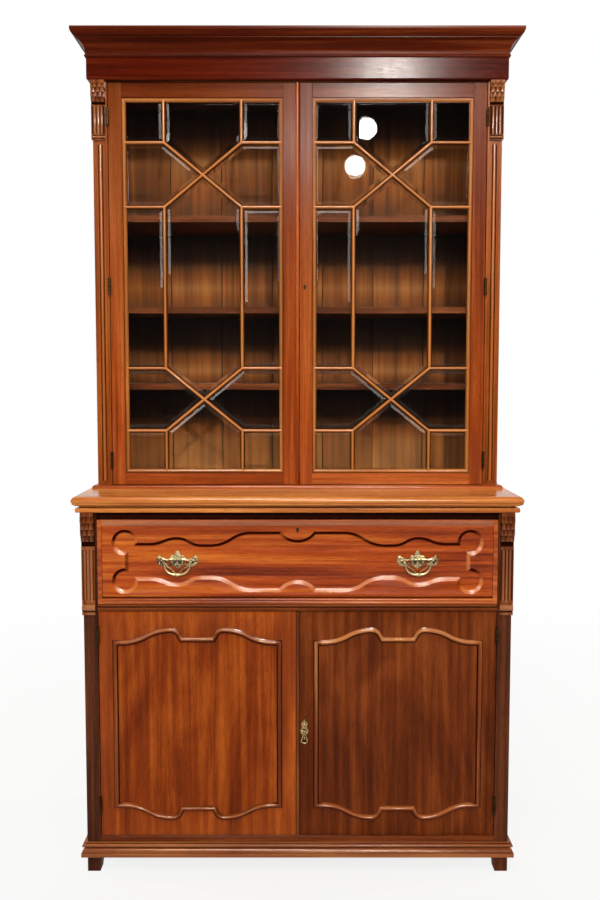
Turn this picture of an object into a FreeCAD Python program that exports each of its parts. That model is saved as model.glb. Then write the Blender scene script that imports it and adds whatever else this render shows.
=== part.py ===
import FreeCAD, Part
import math
import os

import Sketcher
from FreeCAD import Placement, Rotation, Vector

# A mahogany secretaire bookcase in millimetres. The front faces -Y, the width runs along X and the
# floor is z = 0. The base cabinet holds two cupboard doors and a secretaire drawer whose front falls
# to make a writing surface. The glazed bookcase stands on the desk top, set back from its edge.

doc = FreeCAD.newDocument("secretaire_bookcase")
sheet = doc.addObject("Spreadsheet::Sheet", "sizes")
nodes = []
cells = []


class Size:
    """A length or an angle, written as an expression on the sheet's cells."""

    def __init__(self, text):
        self.text = text

    def __add__(self, other):
        return Size(f"({self.text} + {text_of(other)})")

    def __sub__(self, other):
        return Size(f"({self.text} - {text_of(other)})")

    def __mul__(self, other):
        return Size(f"({self.text} * {text_of(other)})")

    def __truediv__(self, other):
        return Size(f"({self.text} / {text_of(other)})")

    def __neg__(self):
        return Size(f"(0 - {self.text})")

    def __float__(self):
        return float(sheet.evalExpression(self.text))


def text_of(value):
    """The expression of a size, or a plain count as text."""
    return value.text if isinstance(value, Size) else repr(value)


def root(size):
    """The square root of a size."""
    return Size(f"sqrt({size.text})")


def cell(alias, value):
    """Put one driving size on the sheet and return it."""
    cells.append(alias)
    row = len(cells)
    sheet.set(f"A{row}", alias)
    sheet.set(f"B{row}", str(value))
    sheet.setAlias(f"B{row}", alias)
    return Size(f"sizes.{alias}")


ZERO = Size("0")

# Base cabinet.
base_width = cell("base_width", 1170)
base_depth = cell("base_depth", 505)
side_board = cell("side_board", 20)
post_depth = cell("post_depth", 22)
base_post_width = cell("base_post_width", 38)
floor_board = cell("floor_board", 16)
dust_board = cell("dust_board", 12)
housing = cell("housing", 6)
back_board = cell("back_board", 10)
back_joint = cell("back_joint", 0.8)
foot_height = cell("foot_height", 46)
foot_width = cell("foot_width", 40)
foot_taper = cell("foot_taper", 5)
plinth_base = cell("plinth_base", 11)
plinth_cyma = cell("plinth_cyma", 12)
plinth_groove = cell("plinth_groove", 4)
plinth_torus = cell("plinth_torus", 9)
plinth_cap = cell("plinth_cap", 3)
plinth_reach = cell("plinth_reach", 15)
plinth_waist = cell("plinth_waist", 5)
plinth_shoulder = cell("plinth_shoulder", 8)
bottom_rail_show = cell("bottom_rail_show", 16)
drawer_rail_height = cell("drawer_rail_height", 20)
top_rail_height = cell("top_rail_height", 20)
top_rail_recess = cell("top_rail_recess", 8)
runner_height = cell("runner_height", 6)
runner_width = cell("runner_width", 40)
guide_height = cell("guide_height", 30)
shelf_board = cell("shelf_board", 18)
shelf_clearance = cell("shelf_clearance", 0.8)
shelf_setback = cell("shelf_setback", 14)
cupboard_shelf_height = cell("cupboard_shelf_height", 300)
bearer_height = cell("bearer_height", 22)
bearer_width = cell("bearer_width", 15)
bearer_setback = cell("bearer_setback", 20)

# Desk top.
under_mould_height = cell("under_mould_height", 20)
under_mould_fillet = cell("under_mould_fillet", 6)
under_mould_lip = cell("under_mould_lip", 4)
under_mould_reach = cell("under_mould_reach", 17)
under_mould_bed = cell("under_mould_bed", 45)
desk_top_board = cell("desk_top_board", 24)
desk_top_reach = cell("desk_top_reach", 25)
nosing_top = cell("nosing_top", 13)
nosing_bottom = cell("nosing_bottom", 8)

# Bookcase.
upper_step = cell("upper_step", 7)
upper_depth = cell("upper_depth", 320)
upper_post_width = cell("upper_post_width", 41)
base_bead_height = cell("base_bead_height", 10)
base_bead_reach = cell("base_bead_reach", 15)
base_bead_round = cell("base_bead_round", 8)
book_floor = cell("book_floor", 20)
book_top = cell("book_top", 20)
book_shelf_one = cell("book_shelf_one", 265)
book_shelf_two = cell("book_shelf_two", 486)
book_shelf_three = cell("book_shelf_three", 747)
frieze_gap = cell("frieze_gap", 4)
frieze_height = cell("frieze_height", 60)
frieze_reach = cell("frieze_reach", 13.5)
frieze_round = cell("frieze_round", 4)
cornice_bead = cell("cornice_bead", 9)
cornice_bead_reach = cell("cornice_bead_reach", 2)
cornice_cavetto = cell("cornice_cavetto", 38)
cornice_cavetto_reach = cell("cornice_cavetto_reach", 36)
cornice_step = cell("cornice_step", 3)
cornice_step_reach = cell("cornice_step_reach", 2.5)
cornice_ovolo = cell("cornice_ovolo", 18)
cornice_fillet = cell("cornice_fillet", 6)
cornice_reach = cell("cornice_reach", 51)
cap_board = cell("cap_board", 12)
cap_sink = cell("cap_sink", 28)
reed_width = cell("reed_width", 8)
reed_groove = cell("reed_groove", 3)
reed_depth = cell("reed_depth", 3)
reed_margin = cell("reed_margin", 12)

# Pilaster trim and corbels.
trim_inset = cell("trim_inset", 5)
trim_over = cell("trim_over", 3)
base_cap_height = cell("base_cap_height", 31)
base_cap_reach = cell("base_cap_reach", 10)
base_flute_height = cell("base_flute_height", 158)
flute_block_reach = cell("flute_block_reach", 6)
flute_radius = cell("flute_radius", 3.6)
flute_pitch = cell("flute_pitch", 10)
flute_margin = cell("flute_margin", 14)
base_corbel_reach = cell("base_corbel_reach", 20)
base_corbel_throat = cell("base_corbel_throat", 5)
base_corbel_foot = cell("base_corbel_foot", 10)
base_corbel_block = cell("base_corbel_block", 10)
lobe_groove = cell("lobe_groove", 2.4)
lobe_groove_depth = cell("lobe_groove_depth", 4.5)
upper_corbel_height = cell("upper_corbel_height", 67)
upper_corbel_reach = cell("upper_corbel_reach", 16)
upper_corbel_throat = cell("upper_corbel_throat", 5)
upper_corbel_foot = cell("upper_corbel_foot", 7)
upper_corbel_block = cell("upper_corbel_block", 8)
upper_flute_height = cell("upper_flute_height", 84)
upper_fillet_height = cell("upper_fillet_height", 13)
upper_fillet_reach = cell("upper_fillet_reach", 9)

# Doors.
door_thickness = cell("door_thickness", 22)
door_setback = cell("door_setback", 2)
door_gap = cell("door_gap", 1)
side_gap = cell("side_gap", 1.5)
cupboard_door_height = cell("cupboard_door_height", 633)
cupboard_bead_width = cell("cupboard_bead_width", 10)
book_door_height = cell("book_door_height", 1137)
book_bead_width = cell("book_bead_width", 10.5)
meeting_bead_proud = cell("meeting_bead_proud", 4)
outer_stile = cell("outer_stile", 38)
meeting_stile = cell("meeting_stile", 35.5)
top_door_rail = cell("top_door_rail", 41)
bottom_door_rail = cell("bottom_door_rail", 33)
tenon_length = cell("tenon_length", 24)
tenon_thickness = cell("tenon_thickness", 8)
tenon_shoulder = cell("tenon_shoulder", 6)
glass_bead = cell("glass_bead", 12)
glass_bead_setback = cell("glass_bead_setback", 1)
bar_width = cell("bar_width", 13.5)
bar_nose = cell("bar_nose", 5)
bar_depth = cell("bar_depth", 10)
bar_offset = cell("bar_offset", 110)
bar_web = cell("bar_web", 3)
lattice_end = cell("lattice_end", 123)
lattice_cross = cell("lattice_cross", 180)
glass = cell("glass", 4)
glass_clearance = cell("glass_clearance", 0.4)
glass_fillet = cell("glass_fillet", 8)
mould_width = cell("mould_width", 15)
mould_depth = cell("mould_depth", 8)
mould_bevel = cell("mould_bevel", 4.5)
mould_margin_side = cell("mould_margin_side", 45)
mould_margin_end = cell("mould_margin_end", 87)
mould_run = cell("mould_run", 20)
mould_crest = cell("mould_crest", 35)
mould_crest_offset = cell("mould_crest_offset", 72)
mould_crest_radius = cell("mould_crest_radius", 24)
mould_drop_angle = cell("mould_drop_angle", 62)
mould_flat_rise = cell("mould_flat_rise", 9)

# Butt hinges.
hinge_length = cell("hinge_length", 48)
hinge_knuckle = cell("hinge_knuckle", 4)
hinge_pin = cell("hinge_pin", 2)
hinge_running = cell("hinge_running", 0.05)
hinge_end_play = cell("hinge_end_play", 0.3)
hinge_leaf = cell("hinge_leaf", 1.2)
hinge_leaf_width = cell("hinge_leaf_width", 15)
hinge_clearance = cell("hinge_clearance", 0.5)
book_hinge_top = cell("book_hinge_top", 95)
book_hinge_bottom = cell("book_hinge_bottom", 72)
cupboard_hinge_top = cell("cupboard_hinge_top", 65)
cupboard_hinge_bottom = cell("cupboard_hinge_bottom", 88)

# Locks and the drop handle.
lock_width = cell("lock_width", 26)
lock_height = cell("lock_height", 55)
lock_depth = cell("lock_depth", 9)
keyhole_radius = cell("keyhole_radius", 2.4)
keyhole_slot = cell("keyhole_slot", 2.4)
keyhole_length = cell("keyhole_length", 7)
drop_height = cell("drop_height", 300)
drop_inset = cell("drop_inset", 12.5)
drop_plate_half = cell("drop_plate_half", 11)
drop_plate_up = cell("drop_plate_up", 38)
drop_plate_down = cell("drop_plate_down", 34)
drop_plate_thickness = cell("drop_plate_thickness", 2)
drop_pin = cell("drop_pin", 1.5)
drop_eye = cell("drop_eye", 3)
drop_eye_width = cell("drop_eye_width", 6)
drop_ear = cell("drop_ear", 3)
drop_standoff = cell("drop_standoff", 7)
drop_stem = cell("drop_stem", 14)
drop_ring = cell("drop_ring", 8)
drop_wire = cell("drop_wire", 2.4)

# Secretaire drawer.
drawer_height = cell("drawer_height", 232)
drawer_gap = cell("drawer_gap", 1)
drawer_side_gap = cell("drawer_side_gap", 2)
drawer_side = cell("drawer_side", 12)
drawer_length = cell("drawer_length", 465)
drawer_head = cell("drawer_head", 5)
strip_proud = cell("strip_proud", 3)
strip_depth = cell("strip_depth", 4)
bottom_strip = cell("bottom_strip", 15)
strip_reed = cell("strip_reed", 2)
fall_thickness = cell("fall_thickness", 22)
fall_gap = cell("fall_gap", 0.5)
fall_pin = cell("fall_pin", 3)
fall_pin_length = cell("fall_pin_length", 12)
fall_pin_play = cell("fall_pin_play", 0.5)
fall_lock_height = cell("fall_lock_height", 34)
fall_key_drop = cell("fall_key_drop", 26)
pivot_plate = cell("pivot_plate", 7)
pivot_plate_depth = cell("pivot_plate_depth", 2)
cove_clearance = cell("cove_clearance", 0.4)
panel_centre = cell("panel_centre", 100.5)
bead_height = cell("bead_height", 17)
bead_proud = cell("bead_proud", 4)
sunk_depth = cell("sunk_depth", 5.5)
lobe_inset = cell("lobe_inset", 61.5)
lobe_rise = cell("lobe_rise", 53)
lobe_radius = cell("lobe_radius", 36)
lobe_flat = cell("lobe_flat", 31)
crest_shift = cell("crest_shift", 47.5)
crest_rise = cell("crest_rise", 69)
cusp_shift = cell("cusp_shift", 20.5)
cusp_flat = cell("cusp_flat", 21)
cusp_rise = cell("cusp_rise", 49)
ridge_out = cell("ridge_out", 126)
ridge_in = cell("ridge_in", 45)
ridge_rise = cell("ridge_rise", 84)
dip_depth = cell("dip_depth", 23)
leather_margin = cell("leather_margin", 38)
leather = cell("leather", 1)
stay_radius = cell("stay_radius", 150)
stay_width = cell("stay_width", 12)
stay_thickness = cell("stay_thickness", 3)
stay_clearance = cell("stay_clearance", 0.5)
stay_foot = cell("stay_foot", 20)
stay_foot_plate = cell("stay_foot_plate", 2.5)
stay_tail = cell("stay_tail", 3)

# Pigeonhole case and its two small drawers.
case_length = cell("case_length", 235)
case_height = cell("case_height", 184)
case_board = cell("case_board", 8)
case_gap = cell("case_gap", 0.5)
nest_bay = cell("nest_bay", 236)
nest_height = cell("nest_height", 70)
nest_gap = cell("nest_gap", 0.8)
nest_front = cell("nest_front", 12)
nest_wall = cell("nest_wall", 6)
nest_knob = cell("nest_knob", 8)
nest_knob_length = cell("nest_knob_length", 14)
nest_knob_neck = cell("nest_knob_neck", 4)

# Bail handles on the fall.
bail_radius = cell("bail_radius", 35)
bail_wire = cell("bail_wire", 3)
bail_bevel = cell("bail_bevel", 1.6)
bail_knop = cell("bail_knop", 6)
bail_knop_radius = cell("bail_knop_radius", 4)
bail_pin = cell("bail_pin", 2)
bail_post = cell("bail_post", 4.5)
bail_standoff = cell("bail_standoff", 9)
bail_play = cell("bail_play", 0.5)
plate_thickness = cell("plate_thickness", 2.5)
plate_half = cell("plate_half", 56)
plate_wing = cell("plate_wing", 13)
plate_under = cell("plate_under", 26)
plate_shoulder = cell("plate_shoulder", 18)
plate_waist = cell("plate_waist", 22)
plate_sill = cell("plate_sill", 8)
plate_scallop = cell("plate_scallop", 20)
plate_brow = cell("plate_brow", 16)
plate_crown = cell("plate_crown", 30)
plate_crown_half = cell("plate_crown_half", 12)
plate_crown_foot = cell("plate_crown_foot", 17)
plate_crown_round = cell("plate_crown_round", 14)
plate_point = cell("plate_point", 24)
plate_hole = cell("plate_hole", 4)

BASE_BOARD_COUNT = 6
BOOK_BOARD_COUNT = 7
FLUTES = 3
BARREL_SIDES = 12
doc.recompute()

# Levels and planes that the pieces share.
half = base_width / 2
inner_half = half - side_board
post_inner = half - base_post_width
y_back = (base_depth + desk_top_reach) / 2
front = y_back - base_depth
behind_post = front + post_depth
back_face = y_back - back_board
plinth_height = plinth_base + plinth_cyma + plinth_groove + plinth_torus + plinth_cap
plinth_top = foot_height + plinth_height
cupboard_floor = plinth_top + bottom_rail_show
door_low = cupboard_floor + door_gap
door_high = door_low + cupboard_door_height
rail_low = door_high + door_gap
rail_high = rail_low + drawer_rail_height
dust_high = rail_high - runner_height
dust_low = dust_high - dust_board
drawer_low = rail_high + drawer_gap
drawer_high = drawer_low + drawer_height
top_rail_low = drawer_high + drawer_gap
top_rail_high = top_rail_low + top_rail_height
desk_low = top_rail_high + under_mould_height
desk_high = desk_low + desk_top_board
upper_half = half - upper_step
upper_inner = upper_half - side_board
upper_post_inner = upper_half - upper_post_width
upper_front = y_back - upper_depth
behind_upper_post = upper_front + post_depth
behind_book_door = upper_front + door_setback + door_thickness + door_gap
bead_top = desk_high + base_bead_height
book_low = bead_top + door_gap
book_high = book_low + book_door_height
book_floor_top = desk_high + book_floor
frieze_low = book_high + frieze_gap
frieze_high = frieze_low + frieze_height
cornice_height = cornice_bead + cornice_cavetto + cornice_step + cornice_ovolo + cornice_fillet
cornice_top = frieze_high + cornice_height
cap_high = cornice_top - cap_sink
cap_low = cap_high - cap_board
door_face = front + door_setback
book_face = upper_front + door_setback


def bind(item, path, size):
    """Tie one property of an object to a size."""
    item.setExpression(path, text_of(size))


def board(name, x, y, z):
    """A square board; x, y and z are each its low and high faces."""
    box = doc.addObject("Part::Box", name)
    for axis, side, (low, high) in zip("xyz", ("Length", "Width", "Height"), (x, y, z)):
        bind(box, side, high - low)
        bind(box, f"Placement.Base.{axis}", low)
    return box


TURNS = {
    "x": Rotation(Vector(0, 1, 0), 90),
    "y": Rotation(Vector(1, 0, 0), -90),
    "z": Rotation(),
}


def rod(name, axis, start, length, radius):
    """A round rod that runs from start in the positive direction of an axis."""
    cylinder = doc.addObject("Part::Cylinder", name)
    cylinder.Placement = Placement(Vector(), TURNS[axis])
    bind(cylinder, "Radius", radius)
    bind(cylinder, "Height", length)
    for letter, place in zip("xyz", start):
        bind(cylinder, f"Placement.Base.{letter}", place)
    return cylinder


def barrel(name, axis, start, length, radius):
    """A pin or knuckle too small to need more than a few sides, from start along an axis."""
    sided = doc.addObject("Part::Prism", name)
    sided.Polygon = BARREL_SIDES
    sided.Placement = Placement(Vector(), TURNS[axis])
    bind(sided, "Circumradius", radius)
    bind(sided, "Height", length)
    for letter, place in zip("xyz", start):
        bind(sided, f"Placement.Base.{letter}", place)
    return sided


def bore_for(pin):
    """The radius over the corners of a few-sided bore in which a pin turns freely."""
    return (pin + hinge_running) / Size(f"cos(180 deg / {BARREL_SIDES})")


def fuse(name, pieces):
    """Several overlapping shapes as one solid."""
    union = doc.addObject("Part::MultiFuse", name)
    union.Shapes = pieces
    union.Refine = True
    return union


def cut(name, base, tools):
    """A shape less one or more tools."""
    result = doc.addObject("Part::Cut", name)
    result.Base = base
    result.Tool = tools[0] if len(tools) == 1 else group(f"{name}_tools", tools)
    return result


def common(name, first, second):
    """What two shapes share."""
    result = doc.addObject("Part::Common", name)
    result.Base = first
    result.Tool = second
    return result


def mirrored(name, source):
    """A copy of a shape on the other side of the middle plane."""
    copy = doc.addObject("Part::Mirroring", name)
    copy.Source = source
    copy.Normal = (1, 0, 0)
    return copy


def pair(name, piece):
    """A right-hand piece and its left-hand twin."""
    return [piece, mirrored(f"{name}_left", piece)]


def group(name, pieces):
    """Separate solids kept together without joining them."""
    compound = doc.addObject("Part::Compound", name)
    compound.Links = pieces
    return compound


def node(label, pieces):
    """Hand in a sub-part: one solid, or a group of separate solids, under its own name."""
    item = pieces[0] if len(pieces) == 1 else group(label, pieces)
    item.Label = label
    nodes.append(item)
    return item


def bent(start, end, radius):
    """An arc of a sketch from start to end; a positive radius turns left, a negative one right."""
    chord = end - start
    left = Vector(-chord.y, chord.x, 0).normalize()
    reach = math.sqrt(max(radius * radius - chord.Length * chord.Length / 4, 0))
    centre = (start + end) * 0.5 + left * math.copysign(reach, radius)
    first, last = (start, end) if radius > 0 else (end, start)
    from_angle = math.atan2(first.y - centre.y, first.x - centre.x)
    to_angle = math.atan2(last.y - centre.y, last.x - centre.x)
    if to_angle < from_angle:
        to_angle += 2 * math.pi
    return Part.ArcOfCircle(Part.Circle(centre, Vector(0, 0, 1), abs(radius)), from_angle, to_angle)


def draw(sketch, corners):
    """Draw a closed outline. A corner is (x, y), or (x, y, bend) where the side that ends there is an
    arc of radius bend, turning left where it is positive and right where it is negative."""
    points = [Vector(float(corner[0]), float(corner[1]), 0) for corner in corners]
    sides = []
    for place, corner in enumerate(corners):
        start, end = points[place - 1], points[place]
        if len(corner) == 3:
            radius = float(corner[2])
            geometry = sketch.addGeometry(bent(start, end, radius))
            sides.append((geometry, 1, 2) if radius > 0 else (geometry, 2, 1))
            held = sketch.addConstraint(Sketcher.Constraint("Radius", geometry, abs(radius)))
            bind(sketch, f"Constraints[{held}]", corner[2] if radius > 0 else -corner[2])
        else:
            sides.append((sketch.addGeometry(Part.LineSegment(start, end)), 1, 2))
    for place, corner in enumerate(corners):
        geometry, _, end = sides[place]
        following, begin, _ = sides[(place + 1) % len(corners)]
        sketch.addConstraint(Sketcher.Constraint("Coincident", geometry, end, following, begin))
        for kind, size, value in (("DistanceX", corner[0], points[place].x),
                                  ("DistanceY", corner[1], points[place].y)):
            held = sketch.addConstraint(Sketcher.Constraint(kind, -1, 1, geometry, end, value))
            bind(sketch, f"Constraints[{held}]", size)


PLANES = {"x": "YZ_Plane", "y": "XZ_Plane", "z": "XY_Plane"}


def prism(name, axis, corners, low, high):
    """A body with one outline, carried along an axis from low to high."""
    body = doc.addObject("PartDesign::Body", name)
    plane = [item for item in body.Origin.OriginFeatures if item.Role == PLANES[axis]][0]
    sketch = body.newObject("Sketcher::SketchObject", f"{name}_outline")
    sketch.AttachmentSupport = [(plane, "")]
    sketch.MapMode = "FlatFace"
    draw(sketch, corners)
    pad = body.newObject("PartDesign::Pad", f"{name}_pad")
    pad.Profile = sketch
    bind(pad, "Length", high - low)
    bind(body, f"Placement.Base.{axis}", high if axis == "y" else low)
    return body


def edges_where(feature, test):
    """The names of a feature's edges whose box passes a test."""
    doc.recompute()
    return [f"Edge{place + 1}" for place, edge in enumerate(feature.Shape.Edges) if test(edge.BoundBox)]


def dress(body, kind, name, edges, radius):
    """Round or bevel some edges of a body's last feature."""
    base = body.Tip
    feature = body.newObject(f"PartDesign::{kind}", name)
    feature.Base = (base, edges)
    bind(feature, "Radius" if kind == "Fillet" else "Size", radius)
    return feature


def near(value, other):
    """Whether two coordinates are the same place."""
    return abs(value - other) < 1e-4


def mitred_frame(label, profile, middle, face, inner, reach, low, high):
    """Three lengths of one moulding, mitred at the front corners of a case. The profile's corners are
    (projection from the case, height), and inner and reach are its least and greatest projection."""
    along = [(face - corner[0], corner[1], -corner[2]) if len(corner) == 3 else
             (face - corner[0], corner[1]) for corner in profile]
    across = [(middle + corner[0], *corner[1:]) for corner in profile]
    outer = middle + reach
    inside = middle + inner
    front_length = prism(f"{label}_front_run", "x", along, -outer, outer)
    front_mitre = prism(f"{label}_front_mitre", "z", [
        (-inside, face - inner), (-outer, face - reach), (outer, face - reach), (inside, face - inner)],
        low, high)
    side_length = prism(f"{label}_side_run", "y", across, face - reach, y_back)
    side_mitre = prism(f"{label}_side_mitre", "z", [
        (inside, face - inner), (outer, face - reach), (outer, y_back), (inside, y_back)], low, high)
    right = common(f"{label}_right", side_length, side_mitre)
    pieces = [common(f"{label}_front", front_length, front_mitre), *pair(f"{label}_right", right)]
    return node(label, pieces)


def flute_tools(name, x_low, x_high, face, z_low, z_high):
    """Hollow flutes with square stops, side by side across a block's face."""
    middle = (x_low + x_high) / 2
    length = z_high - z_low - flute_margin * 2
    tools = []
    for place in range(FLUTES):
        x = middle + flute_pitch * (place - (FLUTES - 1) / 2)
        start = (x, face, z_low + flute_margin)
        tools.append(rod(f"{name}_flute_{place}", "z", start, length, flute_radius))
    return tools


def corbel(name, x_low, x_high, face, z_low, z_high, foot, block, throat, reach):
    """A bracket whose scroll swells from a narrow foot to a belly under a square block. Two grooves part
    its belly into three lobes."""
    belly = z_high - block
    rise = belly - z_low - foot
    swell = (rise * rise + (reach - throat) * (reach - throat)) / (reach - throat) / 2
    outline = [
        (face, z_low),
        (face, z_high),
        (face - reach + trim_over, z_high),
        (face - reach + trim_over, belly),
        (face - reach, belly),
        (face - throat, z_low + foot, swell),
        (face - throat + trim_over, z_low + foot),
        (face - throat + trim_over, z_low),
    ]
    blank = prism(f"{name}_blank", "x", outline, x_low, x_high)
    lobe = (x_high - x_low - lobe_groove * 2) / 3
    grooves = []
    for place, start in enumerate((x_low + lobe, x_high - lobe - lobe_groove)):
        grooves.append(board(f"{name}_groove_{place}", (start, start + lobe_groove),
                             (face - reach, face - reach + lobe_groove_depth), (belly - rise / 2, belly)))
    return cut(name, blank, grooves)


def butt_hinge(name, edge, post_face, leaf_face, middle):
    """A right-hand butt hinge. Its frame half has the pin and the two end knuckles, and its door half
    the middle knuckle. Returns both halves and the recesses that their leaves are let into."""
    axis_x = edge - side_gap / 2
    axis_y = post_face - hinge_knuckle - hinge_clearance
    door_edge = edge - side_gap
    low = middle - hinge_length / 2
    high = middle + hinge_length / 2
    third = hinge_length / 3
    knuckle = third - hinge_end_play
    frame_x = (edge, edge + hinge_leaf)
    door_x = (door_edge - hinge_leaf, door_edge)
    ends = [(low, low + knuckle), (high - knuckle, high)]
    frame_pieces = [
        board(f"{name}_frame_leaf", frame_x, (post_face, post_face + hinge_leaf_width), (low, high)),
        barrel(f"{name}_pin", "z", (axis_x, axis_y, low), hinge_length, hinge_pin)]
    for place, (start, stop) in enumerate(ends):
        frame_pieces.append(board(f"{name}_frame_ear_{place}", frame_x, (axis_y, post_face), (start, stop)))
        frame_pieces.append(barrel(f"{name}_frame_knuckle_{place}", "z", (axis_x, axis_y, start), knuckle,
                                   hinge_knuckle))
    inner = (low + third, high - third)
    door_half = fuse(f"{name}_door_half", [
        board(f"{name}_door_leaf", door_x, (leaf_face, leaf_face + hinge_leaf_width), (low, high)),
        board(f"{name}_door_ear", door_x, (axis_y, leaf_face), inner),
        barrel(f"{name}_door_knuckle", "z", (axis_x, axis_y, inner[0]), third, hinge_knuckle)])
    bore = barrel(f"{name}_bore", "z", (axis_x, axis_y, low), hinge_length, bore_for(hinge_pin))
    frame_recess = board(f"{name}_frame_recess", frame_x, (post_face, post_face + hinge_leaf_width),
                         (low, high))
    door_recess = board(f"{name}_door_recess", door_x, (leaf_face, leaf_face + hinge_leaf_width),
                        (low, high))
    return (fuse(f"{name}_frame_half", frame_pieces), cut(f"{name}_door", door_half, [bore]),
            frame_recess, door_recess)


def keyhole(name, x, z, face, depth):
    """A keyhole bored from a face to the depth of its lock: a round eye over a slot."""
    return fuse(name, [
        rod(f"{name}_eye", "y", (x, face, z), depth, keyhole_radius),
        board(f"{name}_slot", (x - keyhole_slot / 2, x + keyhole_slot / 2), (face, face + depth),
              (z - keyhole_length, z))])


def lock_case(name, x, z, back):
    """A cut lock, let into the back of a piece round the point x, z; returns the lock and its recess."""
    spans = ((x - lock_width / 2, x + lock_width / 2), (back - lock_depth, back),
             (z - lock_height / 2, z + lock_height / 2))
    return board(name, *spans), board(f"{name}_recess", *spans)


def feet_and_plinth():
    """Four blocks under the corners, and the moulding round the foot of the case."""
    blocks = []
    depths = [(front, front + foot_width), (y_back - foot_width, y_back)]
    for place, (near_face, far_face) in enumerate(depths):
        block = prism(f"foot_{place}", "y", [
            (half - foot_width, foot_height), (half - foot_width + foot_taper, ZERO), (half, ZERO),
            (half, foot_height)], near_face, far_face)
        blocks += pair(f"foot_{place}", block)
    node("feet", blocks)
    base = foot_height
    cyma = base + plinth_base
    groove = cyma + plinth_cyma
    torus = groove + plinth_groove
    cap = torus + plinth_torus
    profile = [
        (ZERO, base),
        (plinth_reach, base),
        (plinth_reach, cyma),
        (plinth_waist, groove, plinth_reach - plinth_waist + plinth_cyma / 2),
        (plinth_waist, torus),
        (plinth_shoulder, torus),
        (plinth_shoulder + plinth_torus / 2, torus + plinth_torus / 2, plinth_torus / 2),
        (plinth_shoulder, cap, plinth_torus / 2),
        (plinth_waist, cap),
        (plinth_waist, plinth_top),
        (ZERO, plinth_top),
    ]
    mitred_frame("plinth_moulding", profile, half, front, ZERO, plinth_reach, foot_height, plinth_top)


def base_case(hinge_recesses):
    """The carcase of the base cabinet."""
    boards = [
        ("bottom_board", (cupboard_floor - floor_board, cupboard_floor)),
        ("dust_board", (dust_low, dust_high))]
    board_y = (behind_post, back_face)
    housings = []
    shelves = []
    for name, level in boards:
        reach = inner_half + housing
        shelves.append(board(name, (-reach, reach), board_y, level))
        housings.append(board(f"{name}_housing", (inner_half, reach), board_y, level))
    node("base_boards", shelves)
    side = cut("base_side", board("base_side_blank", (inner_half, half), (behind_post, y_back),
                                  (foot_height, top_rail_high)), housings)
    node("base_sides", pair("base_side", side))
    post = cut("base_post", board("base_post_blank", (post_inner, half), (front, behind_post),
                                  (foot_height, top_rail_high)), hinge_recesses)
    node("base_posts", pair("base_post", post))
    between = (-post_inner, post_inner)
    node("base_rails", [
        board("bottom_rail", between, (front, behind_post), (foot_height, cupboard_floor)),
        board("drawer_rail", between, (front, behind_post), (rail_low, rail_high)),
        board("top_rail", between, (front + top_rail_recess, behind_post), (top_rail_low, top_rail_high)),
        board("back_rail", (under_mould_bed - half, half - under_mould_bed), (back_face, y_back),
              (top_rail_high, desk_low))])
    runner_x = (post_inner - runner_width, inner_half)
    strips = [
        board("runner", runner_x, board_y, (dust_high, rail_high)),
        board("guide", (post_inner, inner_half), board_y, (rail_high, rail_high + guide_height)),
        board("kicker", runner_x, board_y, (top_rail_low, top_rail_high))]
    node("drawer_runners", [piece for strip in strips for piece in pair(strip.Name, strip)])
    boards = back_boards("base_back", inner_half, foot_height, top_rail_high, BASE_BOARD_COUNT)
    node("base_back_boards", boards)


def back_boards(name, reach, low, high, count):
    """Upright boards side by side across the back of a case."""
    width = (reach * 2 - back_joint * (count - 1)) / count
    boards = []
    for place in range(round(count)):
        start = -reach + (width + back_joint) * place
        boards.append(board(f"{name}_{place}", (start, start + width), (back_face, y_back), (low, high)))
    return boards


def base_pilasters():
    """The fluted blocks, caps and corbels planted on the posts beside the drawer."""
    x_low = post_inner + trim_inset
    x_high = half + trim_over
    cap_low_z = rail_high + drawer_gap * 2 - base_cap_height
    flute_low = cap_low_z + base_cap_height
    flute_high = flute_low + base_flute_height
    face = front - flute_block_reach
    block = cut("base_flute_block", board("base_flute_blank", (x_low, x_high), (face, front),
                                          (flute_low, flute_high)),
                flute_tools("base", x_low, x_high, face, flute_low, flute_high))
    step = base_cap_height / 3
    cap = prism("base_cap", "x", [
        (front, cap_low_z),
        (front, flute_low),
        (front - flute_block_reach, flute_low),
        (front - base_cap_reach, flute_low - step, base_cap_reach + step),
        (front - base_cap_reach, flute_low - step * 2),
        (front - trim_over, cap_low_z, -(base_cap_reach + step)),
    ], x_low, x_high)
    node("base_pilaster_trim", pair("base_flute_block", block) + pair("base_cap", cap))
    bracket = corbel("base_corbel", x_low, x_high, front, flute_high, top_rail_high, base_corbel_foot,
                     base_corbel_block, base_corbel_throat, base_corbel_reach)
    node("base_corbels", pair("base_corbel", bracket))


def desk_top():
    """The polished top with its rounded nosing, on a mitred under-moulding."""
    swell = under_mould_height - under_mould_fillet
    profile = [
        (-under_mould_bed, top_rail_high),
        (under_mould_lip, top_rail_high),
        (under_mould_reach, top_rail_high + swell, under_mould_reach - under_mould_lip + swell / 2),
        (under_mould_reach, desk_low),
        (-under_mould_bed, desk_low),
    ]
    mitred_frame("desk_top_moulding", profile, half, front, -under_mould_bed, under_mould_reach,
                 top_rail_high, desk_low)
    outer = half + desk_top_reach
    top = prism("desk_top_board_body", "z", [
        (-outer, front - desk_top_reach), (outer, front - desk_top_reach), (outer, y_back),
        (-outer, y_back)], desk_low, desk_high)
    back = float(y_back)
    nosings = (("nosing_upper", desk_high, nosing_top), ("nosing_lower", desk_low, nosing_bottom))
    for name, level, radius in nosings:
        plane = float(level) - float(desk_low)
        edges = edges_where(top.Tip, lambda box: near(box.ZMin, plane) and near(box.ZMax, plane)
                            and not near(box.YMin, back))
        dress(top, "Fillet", name, edges, radius)
    node("desk_top", [top])


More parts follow.
